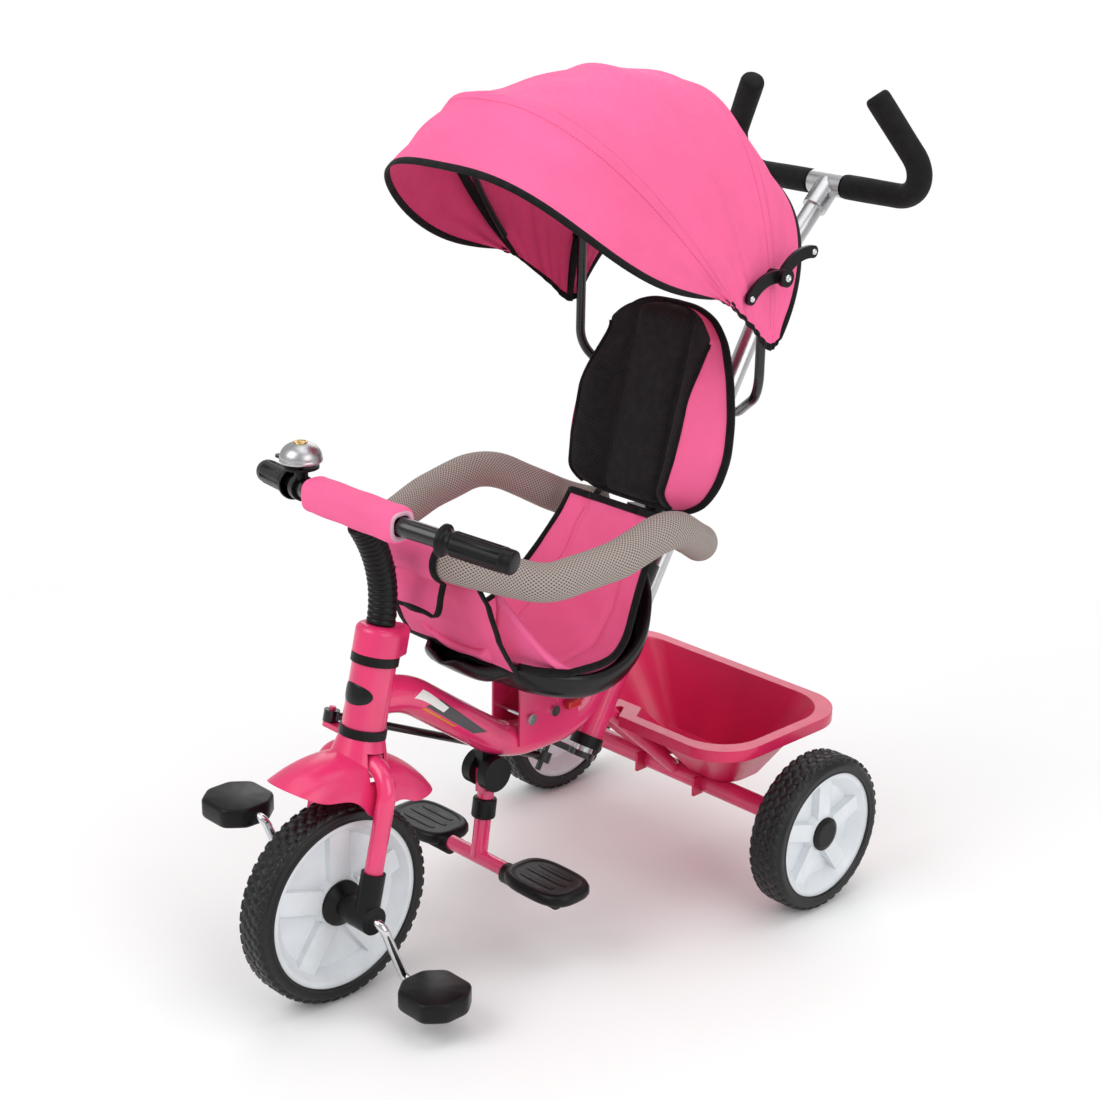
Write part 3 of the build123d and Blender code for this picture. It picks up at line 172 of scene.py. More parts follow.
def foam(name, rgb, rough=0.85, pore=700, depth=0.45, sheen=0.08, specular=0.3):
    s = Shade(name, rough=rough, sheen=sheen, specular=specular)
    s.tint(s.span(s.noise(35, 4), 0.3, 0.7), near(rgb, 0.86), near(rgb, 1.12))
    s.rough(s.noise(80), rough * 0.9, min(1, rough * 1.1))
    s.bump(s.cells(pore), depth, 0.6 * mm)
    s.bump(s.noise(60), 0.15, 1.5 * mm)
    return s.mat


def woven(name, rgb, sheen=0.25, crumple=0.25):
    s = Shade(name, rough=0.72, sheen=sheen, specular=0.25)
    s.feed(s.bsdf, {"Sheen Roughness": 0.4, "Sheen Tint": linear(near(rgb, 1.15))})
    weave = s.lattice(1.1 * mm)
    patch = s.noise(9, 4)
    # Colour: random patches of tone, plus painted shade in the weave's hollows, where the weave bump is low.
    s.tint(s.span(s.math("ADD", s.math("MULTIPLY", weave, 0.35), patch), 0.35, 1.0), near(rgb, 0.93), near(rgb, 1.03))
    s.rough(s.noise(120), 0.62, 0.85)
    s.bump(weave, 0.22, 0.4 * mm)
    s.bump(s.noise(26, 4), crumple, 4 * mm)
    return s.mat


def spacer(name, dark, light, pitch, depth=0.6):
    """Knitted mesh with rows of holes; the holes are coloured dark as painted shade in the holes."""
    s = Shade(name, rough=0.8, sheen=0.04, specular=0.2)
    dots = s.lattice(pitch)
    # Painted shade: the colour runs to the first, dark colour in the holes, where the bump below sinks them.
    s.tint(s.span(dots, 0.25, 0.8, 1, 0), dark, light)
    s.rough(s.noise(90), 0.7, 0.95)
    s.bump(dots, -depth, 0.9 * mm)
    s.bump(s.noise(30), 0.2, 3 * mm)
    return s.mat


def tape(name, rgb):
    s = Shade(name, rough=0.75, sheen=0.05, specular=0.2)
    rib = s.lattice(1.4 * mm)
    # Colour: random tone, plus painted shade between the ribs and painted light on their raised tops, following the rib
    # bump.
    s.tint(s.span(s.math("ADD", rib, s.noise(40)), 0.4, 1.4), near(rgb, 0.8), near(rgb, 1.25))
    s.rough(s.noise(100), 0.65, 0.9)
    s.bump(rib, 0.4, 0.5 * mm)
    return s.mat


mats = {
    "pink_paint": paint("pink_paint", (226, 50, 108)),
    "black_paint": paint("black_paint", (11, 11, 12), 0.24, 0.3),
    "silver_tube": metal("silver_tube", (198, 198, 200), 0.3),
    "steel": metal("steel", (176, 176, 178), 0.32),
    "chrome": metal("chrome", (214, 214, 216), 0.12),
    "pink_plastic": plastic("pink_plastic", (228, 48, 108), 0.32, 700, 0.08, 0.25),
    "basket_plastic": plastic("basket_plastic", (210, 24, 84), 0.36, 600, 0.1, 0.2),
    "black_plastic": plastic("black_plastic", (11, 11, 12), 0.36, 1100, 0.16, 0.0, 0.24),
    "gloss_black": plastic("gloss_black", (10, 10, 11), 0.3, 500, 0.08, 0.1, 0.3),
    "white_plastic": plastic("white_plastic", (226, 230, 234), 0.38, 800, 0.08, 0.1),
    "red_plastic": plastic("red_plastic", (196, 24, 30), 0.3, 700, 0.08, 0.3),
    "tyre_foam": foam("tyre_foam", (14, 14, 15), 0.4, 900, 0.16, 0.0, 0.4),
    "black_foam": foam("black_foam", (15, 15, 16), 0.8, 520, 0.5, 0.04, 0.24),
    "pink_fabric": woven("pink_fabric", (252, 106, 158)),
    # mesh_fabric and grey_foam: the first colour of each is painted shade in the holes.
    "mesh_fabric": spacer("mesh_fabric", (4, 4, 5), (40, 39, 40), 4.2 * mm, 0.9),
    "grey_foam": spacer("grey_foam", (84, 77, 73), (176, 165, 158), 4.4 * mm),
    "aluminium_bell": metal("aluminium_bell", (188, 188, 190), 0.34, 300),
}
# The canopy's inner face: the same pink fabric made darker, which is painted shade on the underside.
painted_shade_underside = woven("pink_underside_painted_shade", (226, 74, 128), 0.1, 0.2)
black_cover = woven("black_cover", (16, 16, 17), 0.05)
binding = tape("black_binding", (12, 12, 13))
thread_pink = tape("pink_thread", (236, 96, 146))
pad_foam = foam("pad_foam_end", (214, 168, 186), 0.9, 600, 0.4)
brass = metal("brass", (196, 160, 92), 0.25, 300)
decal_white = plastic("decal_white", (236, 236, 234), 0.3, 900, 0.04, 0.3)
decal_grey = plastic("decal_grey", (58, 54, 60), 0.3, 900, 0.04, 0.3)
decal_amber = plastic("decal_amber", (222, 132, 42), 0.3, 900, 0.04, 0.3)


# Lines and grids of points

def in_mm(points):
    return np.array(points, dtype=float) * mm


def unit(v):
    v = np.asarray(v, dtype=float)
    return v / max(np.linalg.norm(v), 1e-12)


def ramp(x, low, high):
    """A smooth step from 0 at low to 1 at high."""
    t = np.clip((np.asarray(x, dtype=float) - low) / (high - low), 0, 1)
    return t * t * (3 - 2 * t)


def quarter(x):
    """A quarter circle's rise from 0 to 1."""
    return np.sqrt(np.clip(1 - (1 - np.clip(x, 0, 1)) ** 2, 0, 1))


def bump_at(x, width):
    return np.exp(-(x / width) ** 2)


def lengths(points):
    """The run from the first point to each point."""
    steps = np.linalg.norm(np.diff(points, axis=0), axis=1)
    return np.concatenate(([0.0], np.cumsum(steps)))


def resample(points, count, closed=False):
    pts = np.asarray(points, dtype=float)
    if closed:
        pts = np.vstack([pts, pts[:1]])
    run = lengths(pts)
    want = np.linspace(0, run[-1], count, endpoint=not closed)
    return np.stack([np.interp(want, run, pts[:, k]) for k in range(pts.shape[1])], axis=1)


def even(rows, passes=4):
    """Smooths a closed run of points or directions."""
    for _ in range(passes):
        rows = (np.roll(rows, 1, axis=0) + 2 * rows + np.roll(rows, -1, axis=0)) / 4
    return rows


def ease(rows, passes):
    """Smooths an open run of points and keeps its ends."""
    rows = rows.copy()
    for _ in range(passes):
        rows[1:-1] = (rows[:-2] + 2 * rows[1:-1] + rows[2:]) / 4
    return rows


def rounded(points, radii, step):
    """A polyline with its inner corners rounded, sampled about every step."""
    pts = [np.asarray(p, dtype=float) for p in points]
    out = [pts[0]]
    for k in range(1, len(pts) - 1):
        r = radii[k - 1]
        a, b = unit(pts[k - 1] - pts[k]), unit(pts[k + 1] - pts[k])
        half = math.acos(max(-1, min(1, float(a @ b)))) / 2
        reach = r / math.tan(half)
        centre = pts[k] + unit(a + b) * (r / math.sin(half))
        p, q = pts[k] + a * reach, pts[k] + b * reach
        e, f = p - centre, q - centre
        sweep = math.pi - 2 * half
        for w in np.linspace(0, 1, max(4, int(sweep * r / step) + 1)):
            ang = sweep * w
            out.append(centre + (e * math.sin(sweep - ang) + f * math.sin(ang)) / math.sin(sweep))
    out.append(pts[-1])
    out = np.array(out)
    return resample(out, max(8, int(lengths(out)[-1] / step)))


def frames(path, first, closed=False):
    """Two directions across a path at each point, carried on without twist."""
    if closed:
        tang = np.roll(path, -1, axis=0) - np.roll(path, 1, axis=0)
    else:
        tang = np.gradient(path, axis=0)
    tang = tang / np.linalg.norm(tang, axis=1, keepdims=True)
    side = unit(np.asarray(first) - tang[0] * float(np.dot(first, tang[0])))
    across, ups = [], []
    for ahead in tang:
        side = unit(side - ahead * float(np.dot(side, ahead)))
        across.append(side)
        ups.append(np.cross(ahead, side))
    return np.array(across), np.array(ups)


def normals(points):
    n = np.cross(np.gradient(points, axis=1), np.gradient(points, axis=0))
    return n / np.maximum(np.linalg.norm(n, axis=2, keepdims=True), 1e-9)


def hem(points, facing, in_rows, in_cols):
    """A grid's closed edge with its directions into the cloth, found so many rows or columns in, and off its face."""
    runs = ((points[0, :-1], points[in_rows, :-1], facing[0, :-1]),
            (points[:-1, -1], points[:-1, -1 - in_cols], facing[:-1, -1]),
            (points[-1, :0:-1], points[-1 - in_rows, :0:-1], facing[-1, :0:-1]),
            (points[:0:-1, 0], points[:0:-1, in_cols], facing[:0:-1, 0]))
    inward = np.array([unit(q - p) for edge, inner, _ in runs for p, q in zip(edge, inner)])
    return np.vstack([run[0] for run in runs]), inward, np.vstack([run[2] for run in runs])


def box_of(name):
    """The low and high corner of a CAD node's box."""
    corners = np.array([nodes[name].matrix_world @ Vector(c) for c in nodes[name].bound_box])
    return corners.min(axis=0), corners.max(axis=0)


# Mesh makers, in metres in the CAD model's frame

def mesh(name, verts, faces, material, uvs=None):
    data = bpy.data.meshes.new(name)
    data.from_pydata([tuple(v) for v in verts], [], [tuple(int(i) for i in f) for f in faces])
    data.update()
    if uvs is not None:
        layer = data.uv_layers.new(name="UVMap")
        flat = np.array([uvs[v] for f in faces for v in f], dtype=float).ravel()
        layer.data.foreach_set("uv", flat)
    data.polygons.foreach_set("use_smooth", [True] * len(data.polygons))
    obj = bpy.data.objects.new(name, data)
    bpy.context.scene.collection.objects.link(obj)
    data.materials.append(material)
    return obj


def grid_faces(rows, cols, loop_rows=False, loop_cols=False):
    faces = []
    for i in range(rows if loop_rows else rows - 1):
        for j in range(cols if loop_cols else cols - 1):
            a, b = i, (i + 1) % rows
            c, d = j, (j + 1) % cols
            faces.append((a * cols + c, a * cols + d, b * cols + d, b * cols + c))
    return faces


def unrolled(across, along):
    """The places of a grid's points on its surface laid flat."""
    return [(u, v) for v in along for u in across]


def sheet_mesh(name, points, material):
    rows, cols = points.shape[:2]
    uvs = unrolled(lengths(points[rows // 2]), lengths(points[:, cols // 2]))
    return mesh(name, points.reshape(-1, 3), grid_faces(rows, cols), material, uvs)


def tube(name, path, radius, material, around=20, first=(1, 0, 0), closed=False, caps=True):
    """A tube on a path; radius is a number or one per point."""
    path = np.asarray(path, dtype=float)
    side, up = frames(path, first, closed)
    radius = np.broadcast_to(np.asarray(radius, dtype=float), (len(path),))
    turn = np.linspace(0, 2 * math.pi, around + 1)
    ring = (np.cos(turn)[None, :, None] * side[:, None, :]
            + np.sin(turn)[None, :, None] * up[:, None, :]) * radius[:, None, None]
    points = path[:, None, :] + ring
    rows, cols = points.shape[:2]
    run = lengths(path)
    uvs = unrolled(turn * np.mean(radius), run)
    faces = grid_faces(rows, cols, loop_rows=closed)
    verts = list(points.reshape(-1, 3))
    if caps and not closed:
        for end in (0, rows - 1):
            verts.append(path[end])
            uvs.append((0, run[end]))
            mid = len(verts) - 1
            for j in range(cols - 1):
                tri = (end * cols + j, end * cols + j + 1, mid)
                faces.append(tri[::-1] if end == 0 else tri)
    return mesh(name, verts, faces, material, uvs)


def strip(name, edge, inward, normal, half_w, half_t, material, closed=True, lead=0.0):
    """A folded tape round the edge of a cloth: flat across the cloth, round at its edge."""
    turn = np.linspace(0, 2 * math.pi, 13)
    shape_a = np.sign(np.cos(turn)) * np.abs(np.cos(turn)) ** 0.6 * half_w
    shape_b = np.sign(np.sin(turn)) * np.abs(np.sin(turn)) ** 0.8 * half_t
    points = (edge[:, None, :] + inward[:, None, :] * (shape_a[None, :, None] + half_w - lead)
              + normal[:, None, :] * shape_b[None, :, None])
    rows, cols = points.shape[:2]
    uvs = unrolled(turn * half_w, lengths(edge))
    return mesh(name, points.reshape(-1, 3), grid_faces(rows, cols, loop_rows=closed), material, uvs)


def stitches(name, path, normal):
    """A run of pink thread as separate short stitches lying on a surface."""
    pitch, dash, width, rise = 4.2 * mm, 2.8 * mm, 0.7 * mm, 0.4 * mm
    run = lengths(path)
    verts, faces = [], []
    for k in range(int(run[-1] / pitch)):
        start = k * pitch
        a = np.array([np.interp(start, run, path[:, i]) for i in range(3)])
        b = np.array([np.interp(start + dash, run, path[:, i]) for i in range(3)])
        n = unit([np.interp(start, run, normal[:, i]) for i in range(3)])
        side = unit(np.cross(b - a, n)) * width / 2
        mid = (a + b) / 2 + n * rise
        base = len(verts)
        verts += [a - side, a + side, mid - side, mid + side, b - side, b + side]
        faces += [(base, base + 1, base + 3, base + 2), (base + 2, base + 3, base + 5, base + 4)]
    return mesh(name, verts, faces, thread_pink, [(0, 0)] * len(verts))


def revolve(name, centre, axis, profile, material, around=48, first=(0, 0, 1), square=2.0):
    """Profile points are (distance along the axis, radius) in mm; a power above 2 squares the section."""
    axis = unit(axis)
    side = unit(np.asarray(first) - axis * float(np.dot(first, axis)))
    up = np.cross(axis, side)
    turn = np.linspace(0, 2 * math.pi, around + 1)
    prof = in_mm(profile)
    swell = (np.abs(np.cos(turn)) ** square + np.abs(np.sin(turn)) ** square) ** (-1 / square)
    circle = (np.cos(turn)[:, None] * side + np.sin(turn)[:, None] * up) * swell[:, None]
    points = (np.asarray(centre)[None, None, :] + prof[:, 0][:, None, None] * axis
              + prof[:, 1][:, None, None] * circle[None, :, :])
    rows, cols = points.shape[:2]
    uvs = unrolled(turn * np.mean(prof[:, 1]), lengths(prof))
    return mesh(name, points.reshape(-1, 3), grid_faces(rows, cols), material, uvs)


def thick(obj, size, offset=0.0, inner=None):
    mod = obj.modifiers.new("thick", "SOLIDIFY")
    mod.thickness = size
    mod.offset = offset
    if inner is not None:
        obj.data.materials.append(inner)
        mod.material_offset = 1


def ride_all(pieces, body):
    for piece in pieces:
        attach(piece, body)


def stands_for(node):
    """Hides the CAD node that a built piece stands in for."""
    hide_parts(node)


# Tyres: foam with a staggered block tread

def tyre(name, centre, outer, width, rim, body, node):
    """A tyre on an axle along x; sizes in mm. Five rows of leaning oval blocks stand proud of the grooves."""
    centre, outer, half, rim = in_mm(centre), outer * mm, width / 2 * mm, rim * mm
    shoulder = 11 * mm
    block_long, block_wide, block_lean = 6.2 * mm, 3.9 * mm, 0.5
    block_pitch, row_gap, groove = 15 * mm, 9.2 * mm, 1.9 * mm
    wall_line_at, wall_line_wide, wall_line_deep = half + 12 * mm, 1.2 * mm, 0.7 * mm
    around = 520

    shape = [(-half, rim + 0.3 * mm), (-half, outer - shoulder - 3 * mm)]
    for a in np.linspace(0, math.pi / 2, 9):
        shape.append((-half + shoulder * (1 - math.cos(a)), outer - shoulder + shoulder * math.sin(a)))
    shape += [(-x, r) for x, r in shape[::-1]]
    shape = resample(np.array(shape), 74)
    along = np.gradient(shape, axis=0)
    outward = np.stack([-along[:, 1], along[:, 0]], axis=1)
    outward /= np.linalg.norm(outward, axis=1, keepdims=True)
    run = lengths(shape) - lengths(shape)[-1] / 2
    turn = np.linspace(0, 2 * math.pi, around, endpoint=False)
    girth = 2 * math.pi * outer
    pitch = girth / int(girth / block_pitch)
    block = np.zeros((len(shape), around))
    for row in range(-2, 3):
        shift, lean = (pitch / 2, block_lean) if row % 2 else (0.0, -block_lean)
        du = (turn * outer + shift + pitch / 2) % pitch - pitch / 2
        dv = run - row * row_gap
        a = du[None, :] * math.cos(lean) + dv[:, None] * math.sin(lean)
        b = -du[None, :] * math.sin(lean) + dv[:, None] * math.cos(lean)
        far = np.sqrt((a / block_long) ** 2 + (b / block_wide) ** 2)
        block = np.maximum(block, 1 - ramp(far, 0.82, 1.12))
    zone = 1 - ramp(np.abs(run), half + 1 * mm, half + 5 * mm)
    wall_line = bump_at(np.abs(run) - wall_line_at, wall_line_wide) * wall_line_deep
    drop = (1 - block) * zone[:, None] * groove + wall_line[:, None]
    xs = shape[:, 0][:, None] - outward[:, 0][:, None] * drop
    rs = shape[:, 1][:, None] - outward[:, 1][:, None] * drop
    points = np.stack([centre[0] + xs, centre[1] + rs * np.sin(turn), centre[2] + rs * np.cos(turn)], axis=2)
    uvs = unrolled(turn * outer, run)
    faces = grid_faces(len(shape), around, loop_cols=True)
    last = (len(shape) - 1) * around
    for j in range(around):
        k = (j + 1) % around
        faces.append((last + j, last + k, k, j))
    obj = mesh(name, points.reshape(-1, 3), faces, mats["tyre_foam"], uvs)
    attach(obj, body)
    stands_for(node)


front_axle = (0, -365.5, 124.5)
tyre("front_tyre_tread", front_axle, 124.5, 46, 104, "front_wheel", "front_tyre")
for sign, tag in both_sides:
    tyre(f"rear_tyre_tread_{tag}", (sign * 237, 222, 103), 103, 50, 83, f"{tag}_rear_wheel", f"rear_tyre_{tag}")


# Canopy: one taut sheet over the bows, with a folded tape round its whole edge

# Each arch: its left foot, its crown (y, z), the power that squares its shoulders, and the sag of its sides
arches = [
    ((184, 62, 804), (-200, 957), 0.64, 32),
    ((180, 84, 793), (-122, 1027), 0.82, 0),
    ((172, 130, 757), (45, 1047), 0.95, 0),
    ((168, 166, 727), (190, 1016), 1.0, 0),
    ((167, 189, 737), (300, 905), 1.0, 0),
]
arch_turn = np.radians(np.linspace(-90, 90, 97))
visor_rows, panel_rows = 12, (13, 12, 13)


def arch_row(foot, crown, square, sag):
    """Even points on an arch between two feet."""
    fine = np.radians(np.linspace(-90, 90, 1441))
    rise = np.abs(np.cos(fine)) ** square
    reach = np.sign(fine) * np.abs(np.sin(fine)) ** square
    y = foot[1] + (crown[0] - foot[1]) * rise
    z = foot[2] + (crown[1] - foot[2]) * rise - sag * np.sin(math.pi * rise)
    return resample(np.stack([foot[0] * reach, y, z], axis=1) * mm, len(arch_turn))


def spline(p0, p1, p2, p3, t):
    return 0.5 * ((2 * p1) + (p2 - p0) * t + (2 * p0 - 5 * p1 + 4 * p2 - p3) * t * t
                  + (3 * p1 - p0 - 3 * p2 + p3) * t ** 3)


bows = [arch_row(*a) for a in arches]
canopy_rows = []
canopy_marks = []
visor_lift = np.stack([np.zeros(len(arch_turn)), -0.45 * np.cos(arch_turn), 0.9 * np.cos(arch_turn)], axis=1)
for k in range(visor_rows):
    t = k / visor_rows
    canopy_rows.append(bows[0] + (bows[1] - bows[0]) * t + visor_lift * (7 * mm * math.sin(math.pi * t)))
knots = [bows[1] * 2 - bows[2]] + bows[1:] + [bows[4] * 2 - bows[3]]
for seg, count in enumerate(panel_rows):
    canopy_marks.append(len(canopy_rows))
    for k in range(count):
        canopy_rows.append(spline(*knots[seg:seg + 4], k / count))
canopy_rows.append(bows[4])
canopy = np.array(canopy_rows)
canopy_n = normals(canopy)
rows_n, cols_n = canopy.shape[:2]
row_at = np.arange(rows_n)[:, None]
turn_at = arch_turn[None, :]
edge_share = np.minimum(1, np.minimum(row_at, rows_n - 1 - row_at) / 4.0)
ridge = np.zeros((rows_n, cols_n))
for mark in canopy_marks:
    ridge += bump_at(row_at - mark, 1.0) - 0.35 * bump_at(np.abs(row_at - mark) - 2, 0.8)
low = np.abs(turn_at) / (math.pi / 2)
folds = (1.6 * np.sin(row_at * 1.5 + turn_at * 2.0) * low ** 4
         + 1.7 * np.sin(turn_at * 7 + row_at * 0.35) * np.sin(row_at * 0.5)
         + 1.2 * np.sin(turn_at * 13 - row_at * 0.7 + np.sin(turn_at * 4)) * (1 - 0.6 * low))
slack = np.zeros((rows_n, 1))
held_rows = [0] + canopy_marks + [rows_n - 1]
for a, b in zip(held_rows[:-1], held_rows[1:]):
    span = np.arange(a, b + 1)
    slack[span, 0] = np.maximum(slack[span, 0], np.sin(math.pi * (span - a) / (b - a)))
offset = 1.6 + 2.6 * ridge + folds * edge_share * slack - 2.6 * slack * (1 - low ** 3) * edge_share
canopy = canopy + canopy_n * (offset * mm)[:, :, None]
canopy_cloth = sheet_mesh("canopy_cloth", canopy, mats["pink_fabric"])
# The cloth's inner face takes the darker pink: painted shade under the canopy.
thick(canopy_cloth, 1.4 * mm, 0.0, painted_shade_underside)

edge, inward, facing = hem(canopy, canopy_n, 2, 3)
canopy_tape = strip("canopy_hem_tape", edge, even(inward), even(facing), 4.6 * mm, 1.7 * mm, binding, lead=1.2 * mm)
canopy_seams = []
bow_tapes = []
front_mark, rear_mark = canopy_marks[0], canopy_marks[2]
for row in (front_mark + 1, front_mark - 1, rear_mark + 1, rear_mark - 1):
    seam = canopy[row, 3:-3] + canopy_n[row, 3:-3] * 0.9 * mm
    canopy_seams.append(stitches(f"canopy_stitch_{len(canopy_seams)}", seam, canopy_n[row, 3:-3]))
for mark in (front_mark, rear_mark):
    under = canopy[mark] - canopy_n[mark] * 4.2 * mm
    along = canopy[mark + 1] - canopy[mark - 1]
    along = along / np.linalg.norm(along, axis=1, keepdims=True)
    bow_tapes.append(strip(f"bow_tape_{mark}", under - along * 7 * mm, along, canopy_n[mark], 7 * mm, 0.9 * mm, binding,
                           closed=False))
canopy_trim = [canopy_tape] + canopy_seams + bow_tapes
ride_all([canopy_cloth] + canopy_trim, "canopy")
stands_for("canopy_fabric")


# Backrest: recessed mesh panel between two side bolsters, pink outer faces, black piping

back_lean = math.radians(14.4)
back_foot = in_mm((0, 105, 515))
back_up = np.array([0, math.sin(back_lean), math.cos(back_lean)])
back_ahead = np.array([0, -math.cos(back_lean), math.sin(back_lean)])
back_high = 248 * mm
edge_deep = -22 * mm


def back_point(x, up, deep):
    return (back_foot + np.asarray(x)[..., None] * np.array([1.0, 0, 0])
            + np.asarray(up)[..., None] * back_up + np.asarray(deep)[..., None] * back_ahead)


half_line = in_mm([(0, 0), (40, 0), (82, 2), (108, 16), (124, 44), (130, 80), (124, 124), (109, 172), (90, 212),
                   (66, 237), (36, 247), (0, 248)])
half_line = ease(resample(half_line, 240), 60)
up_rows = np.concatenate([np.linspace(0, 6, 6), np.linspace(9, 36, 9), np.linspace(42, 210, 34),
                          np.linspace(214, 241, 10), np.linspace(243, 248, 6)]) * mm
half_rows = np.maximum(np.interp(up_rows, half_line[:, 1], half_line[:, 0]), 4 * mm)
share_rows = up_rows / back_high
ridge_rows = np.interp(share_rows, [0, 0.25, 0.5, 0.68, 0.8, 0.88, 1.0], in_mm([76, 86, 88, 84, 81, 84, 130]))
ridge_rows = np.minimum(ridge_rows, half_rows - 2.5 * mm)
bolster_rows = 29 * mm * (1 - ramp(share_rows, 0.5, 0.9)) * (0.6 + 0.4 * ramp(share_rows, 0.0, 0.12))
end_fall = quarter(np.minimum(up_rows, back_high - up_rows) / (24 * mm))


def back_deep(i, x):
    """How far the padding stands forward in row i at each x."""
    x = np.abs(x)
    half, brink = half_rows[i], ridge_rows[i]
    crease = min(46 * mm, brink - 12 * mm)
    level = 20 * mm + 3 * mm * np.cos(np.clip(x / crease, 0, 1) * math.pi / 2)
    level = level - 5.5 * mm * bump_at(x - crease, 6 * mm)
    level = level + bolster_rows[i] * ramp(x, crease, brink - 6 * mm)
    down_wing = np.clip((x - brink) / max(half - brink, 1e-6), 0, 1)
    level = level * (1 - down_wing ** 1.3)
    level = level - 1.6 * mm * bump_at(x - brink, 2.2 * mm) * (half - brink > 8 * mm)
    return edge_deep + level * end_fall[i]


def back_strip(name, low, high, cols, material):
    """Padding between two lines that give x for each row."""
    pts = np.zeros((len(up_rows), cols, 3))
    for i, up in enumerate(up_rows):
        x = np.linspace(low[i], high[i], cols)
        ripple = 0.5 * mm * np.sin(x / (9 * mm) + up / (13 * mm)) * end_fall[i]
        pts[i] = back_point(x, np.full(cols, up), back_deep(i, x) + ripple)
    return sheet_mesh(name, pts, material)


back_mid = back_strip("backrest_mesh_panel", -ridge_rows, ridge_rows, 61, mats["mesh_fabric"])
back_wings = [back_strip("backrest_wing_left", ridge_rows, half_rows, 15, mats["pink_fabric"]),
              back_strip("backrest_wing_right", -half_rows, -ridge_rows, 15, mats["pink_fabric"])]
rear_pts = np.zeros((len(up_rows), 41, 3))
for i, up in enumerate(up_rows):
    x = np.linspace(half_rows[i], -half_rows[i], 41)
    fall = (1 - (np.abs(x) / half_rows[i]) ** 2.6) * end_fall[i]
    rear_pts[i] = back_point(x, np.full(41, up), edge_deep - 24.4 * mm * fall)
back_rear = sheet_mesh("backrest_rear_cover", rear_pts, black_cover)
outline = np.vstack([half_line, half_line[::-1] * np.array([-1, 1])])
apart = np.concatenate(([True], np.linalg.norm(np.diff(outline, axis=0), axis=1) > 1e-7))
outline = resample(outline[apart], 260, closed=True)
pipe_path = back_point(outline[:, 0], outline[:, 1], np.full(len(outline), edge_deep))
back_pipe = tube("backrest_piping", pipe_path, 5.4 * mm, binding, 14, back_ahead, closed=True)
back_seams = []
seam_rows = [i for i in range(len(up_rows)) if half_rows[i] - ridge_rows[i] > 6 * mm]
for sign, _ in both_sides:
    seam = np.array([back_point(sign * ridge_rows[i], up_rows[i], back_deep(i, np.array(ridge_rows[i])) + 0.2 * mm)
                     for i in seam_rows])
    back_seams.append(tube(f"backrest_seam_{len(back_seams)}", seam, 2.8 * mm, binding, 10))
ride_all([back_mid] + back_wings + [back_rear, back_pipe] + back_seams, "frame")
stands_for("backrest_pad")
stands_for("backrest_board")


# Seat liner: a padded fabric bowl that runs up behind the child, bound in black

# The middle line of the liner from front to back: y, z and the half width there
seat_line = in_mm([(-178, 395, 84), (-160, 383, 96), (-138, 372, 106), (-110, 363, 114), (-82, 357, 118),
                   (-52, 356, 119), (-24, 359, 117), (-4, 368, 113), (14, 382, 108), (28, 400, 102),
                   (40, 420, 96), (52, 442, 90), (64, 466, 85), (76, 490, 80), (86, 511, 77)])
seat_line = ease(resample(seat_line, 64), 3)
slope = np.gradient(seat_line[:, :2], axis=0)
slope /= np.linalg.norm(slope, axis=1, keepdims=True)
liner_wall = 88 * mm
s = np.linspace(-1, 1, 45)
liner = np.zeros((len(seat_line), len(s), 3))
for i, share in enumerate(np.linspace(0, 1, len(seat_line))):
    y, z, half = seat_line[i]
    bowl = 15 * mm * (1 - ramp(share, 0.62, 1.0)) + 5 * mm + 8 * mm * (1 - ramp(share, 0.0, 0.3))
    puff = 7 * mm * np.sqrt(np.clip(1 - np.abs(s) ** 4, 0, 1))
    tuck = -3.4 * mm * bump_at(np.abs(s) - 0.56, 0.05)
    crumple = (2.2 * np.sin(s * 7 + share * 23) * np.sin(share * 15 + s * 2)
               + 0.9 * np.sin(share * 41 - s * 5)) * mm * (1 - s ** 4)
    lift = bowl * np.abs(s) ** 2.4 + puff + tuck + crumple - 6 * mm
    wall = liner_wall * (1 - ramp(share, -0.1, 0.27)) * np.abs(s) ** 5
    liner[i] = np.stack([half * s * (1 - 0.0022 * wall / mm), y - slope[i, 1] * lift - 0.2 * wall,
                         z + slope[i, 0] * lift + wall], axis=1)
liner_n = normals(liner)
seat_liner = sheet_mesh("seat_liner", liner, mats["pink_fabric"])
thick(seat_liner, 9 * mm, -1.0)
free_from = 20
foot_run = in_mm([(91, -160, 388), (100, -142, 381), (109, -122, 376), (117, -103, 372)])
bound_edge = np.vstack([foot_run, liner[free_from:-1, -1], liner[-1, ::-1], liner[-2:free_from - 1:-1, 0],
                        foot_run[::-1] * mirror])
liner_tape = tube("seat_liner_binding", resample(bound_edge, 240), 4.6 * mm, binding, 12, (0, 0, 1))
liner_seams = []
for col in (9, 35):
    seam = liner[4:-2, col] + liner_n[4:-2, col] * 0.6 * mm
    liner_seams.append(stitches(f"seat_stitch_{len(liner_seams)}", seam, liner_n[4:-2, col]))
ride_all([seat_liner, liner_tape] + liner_seams, "frame")
stands_for("seat_cushion")


# Safety ring: foam in a grey mesh sleeve

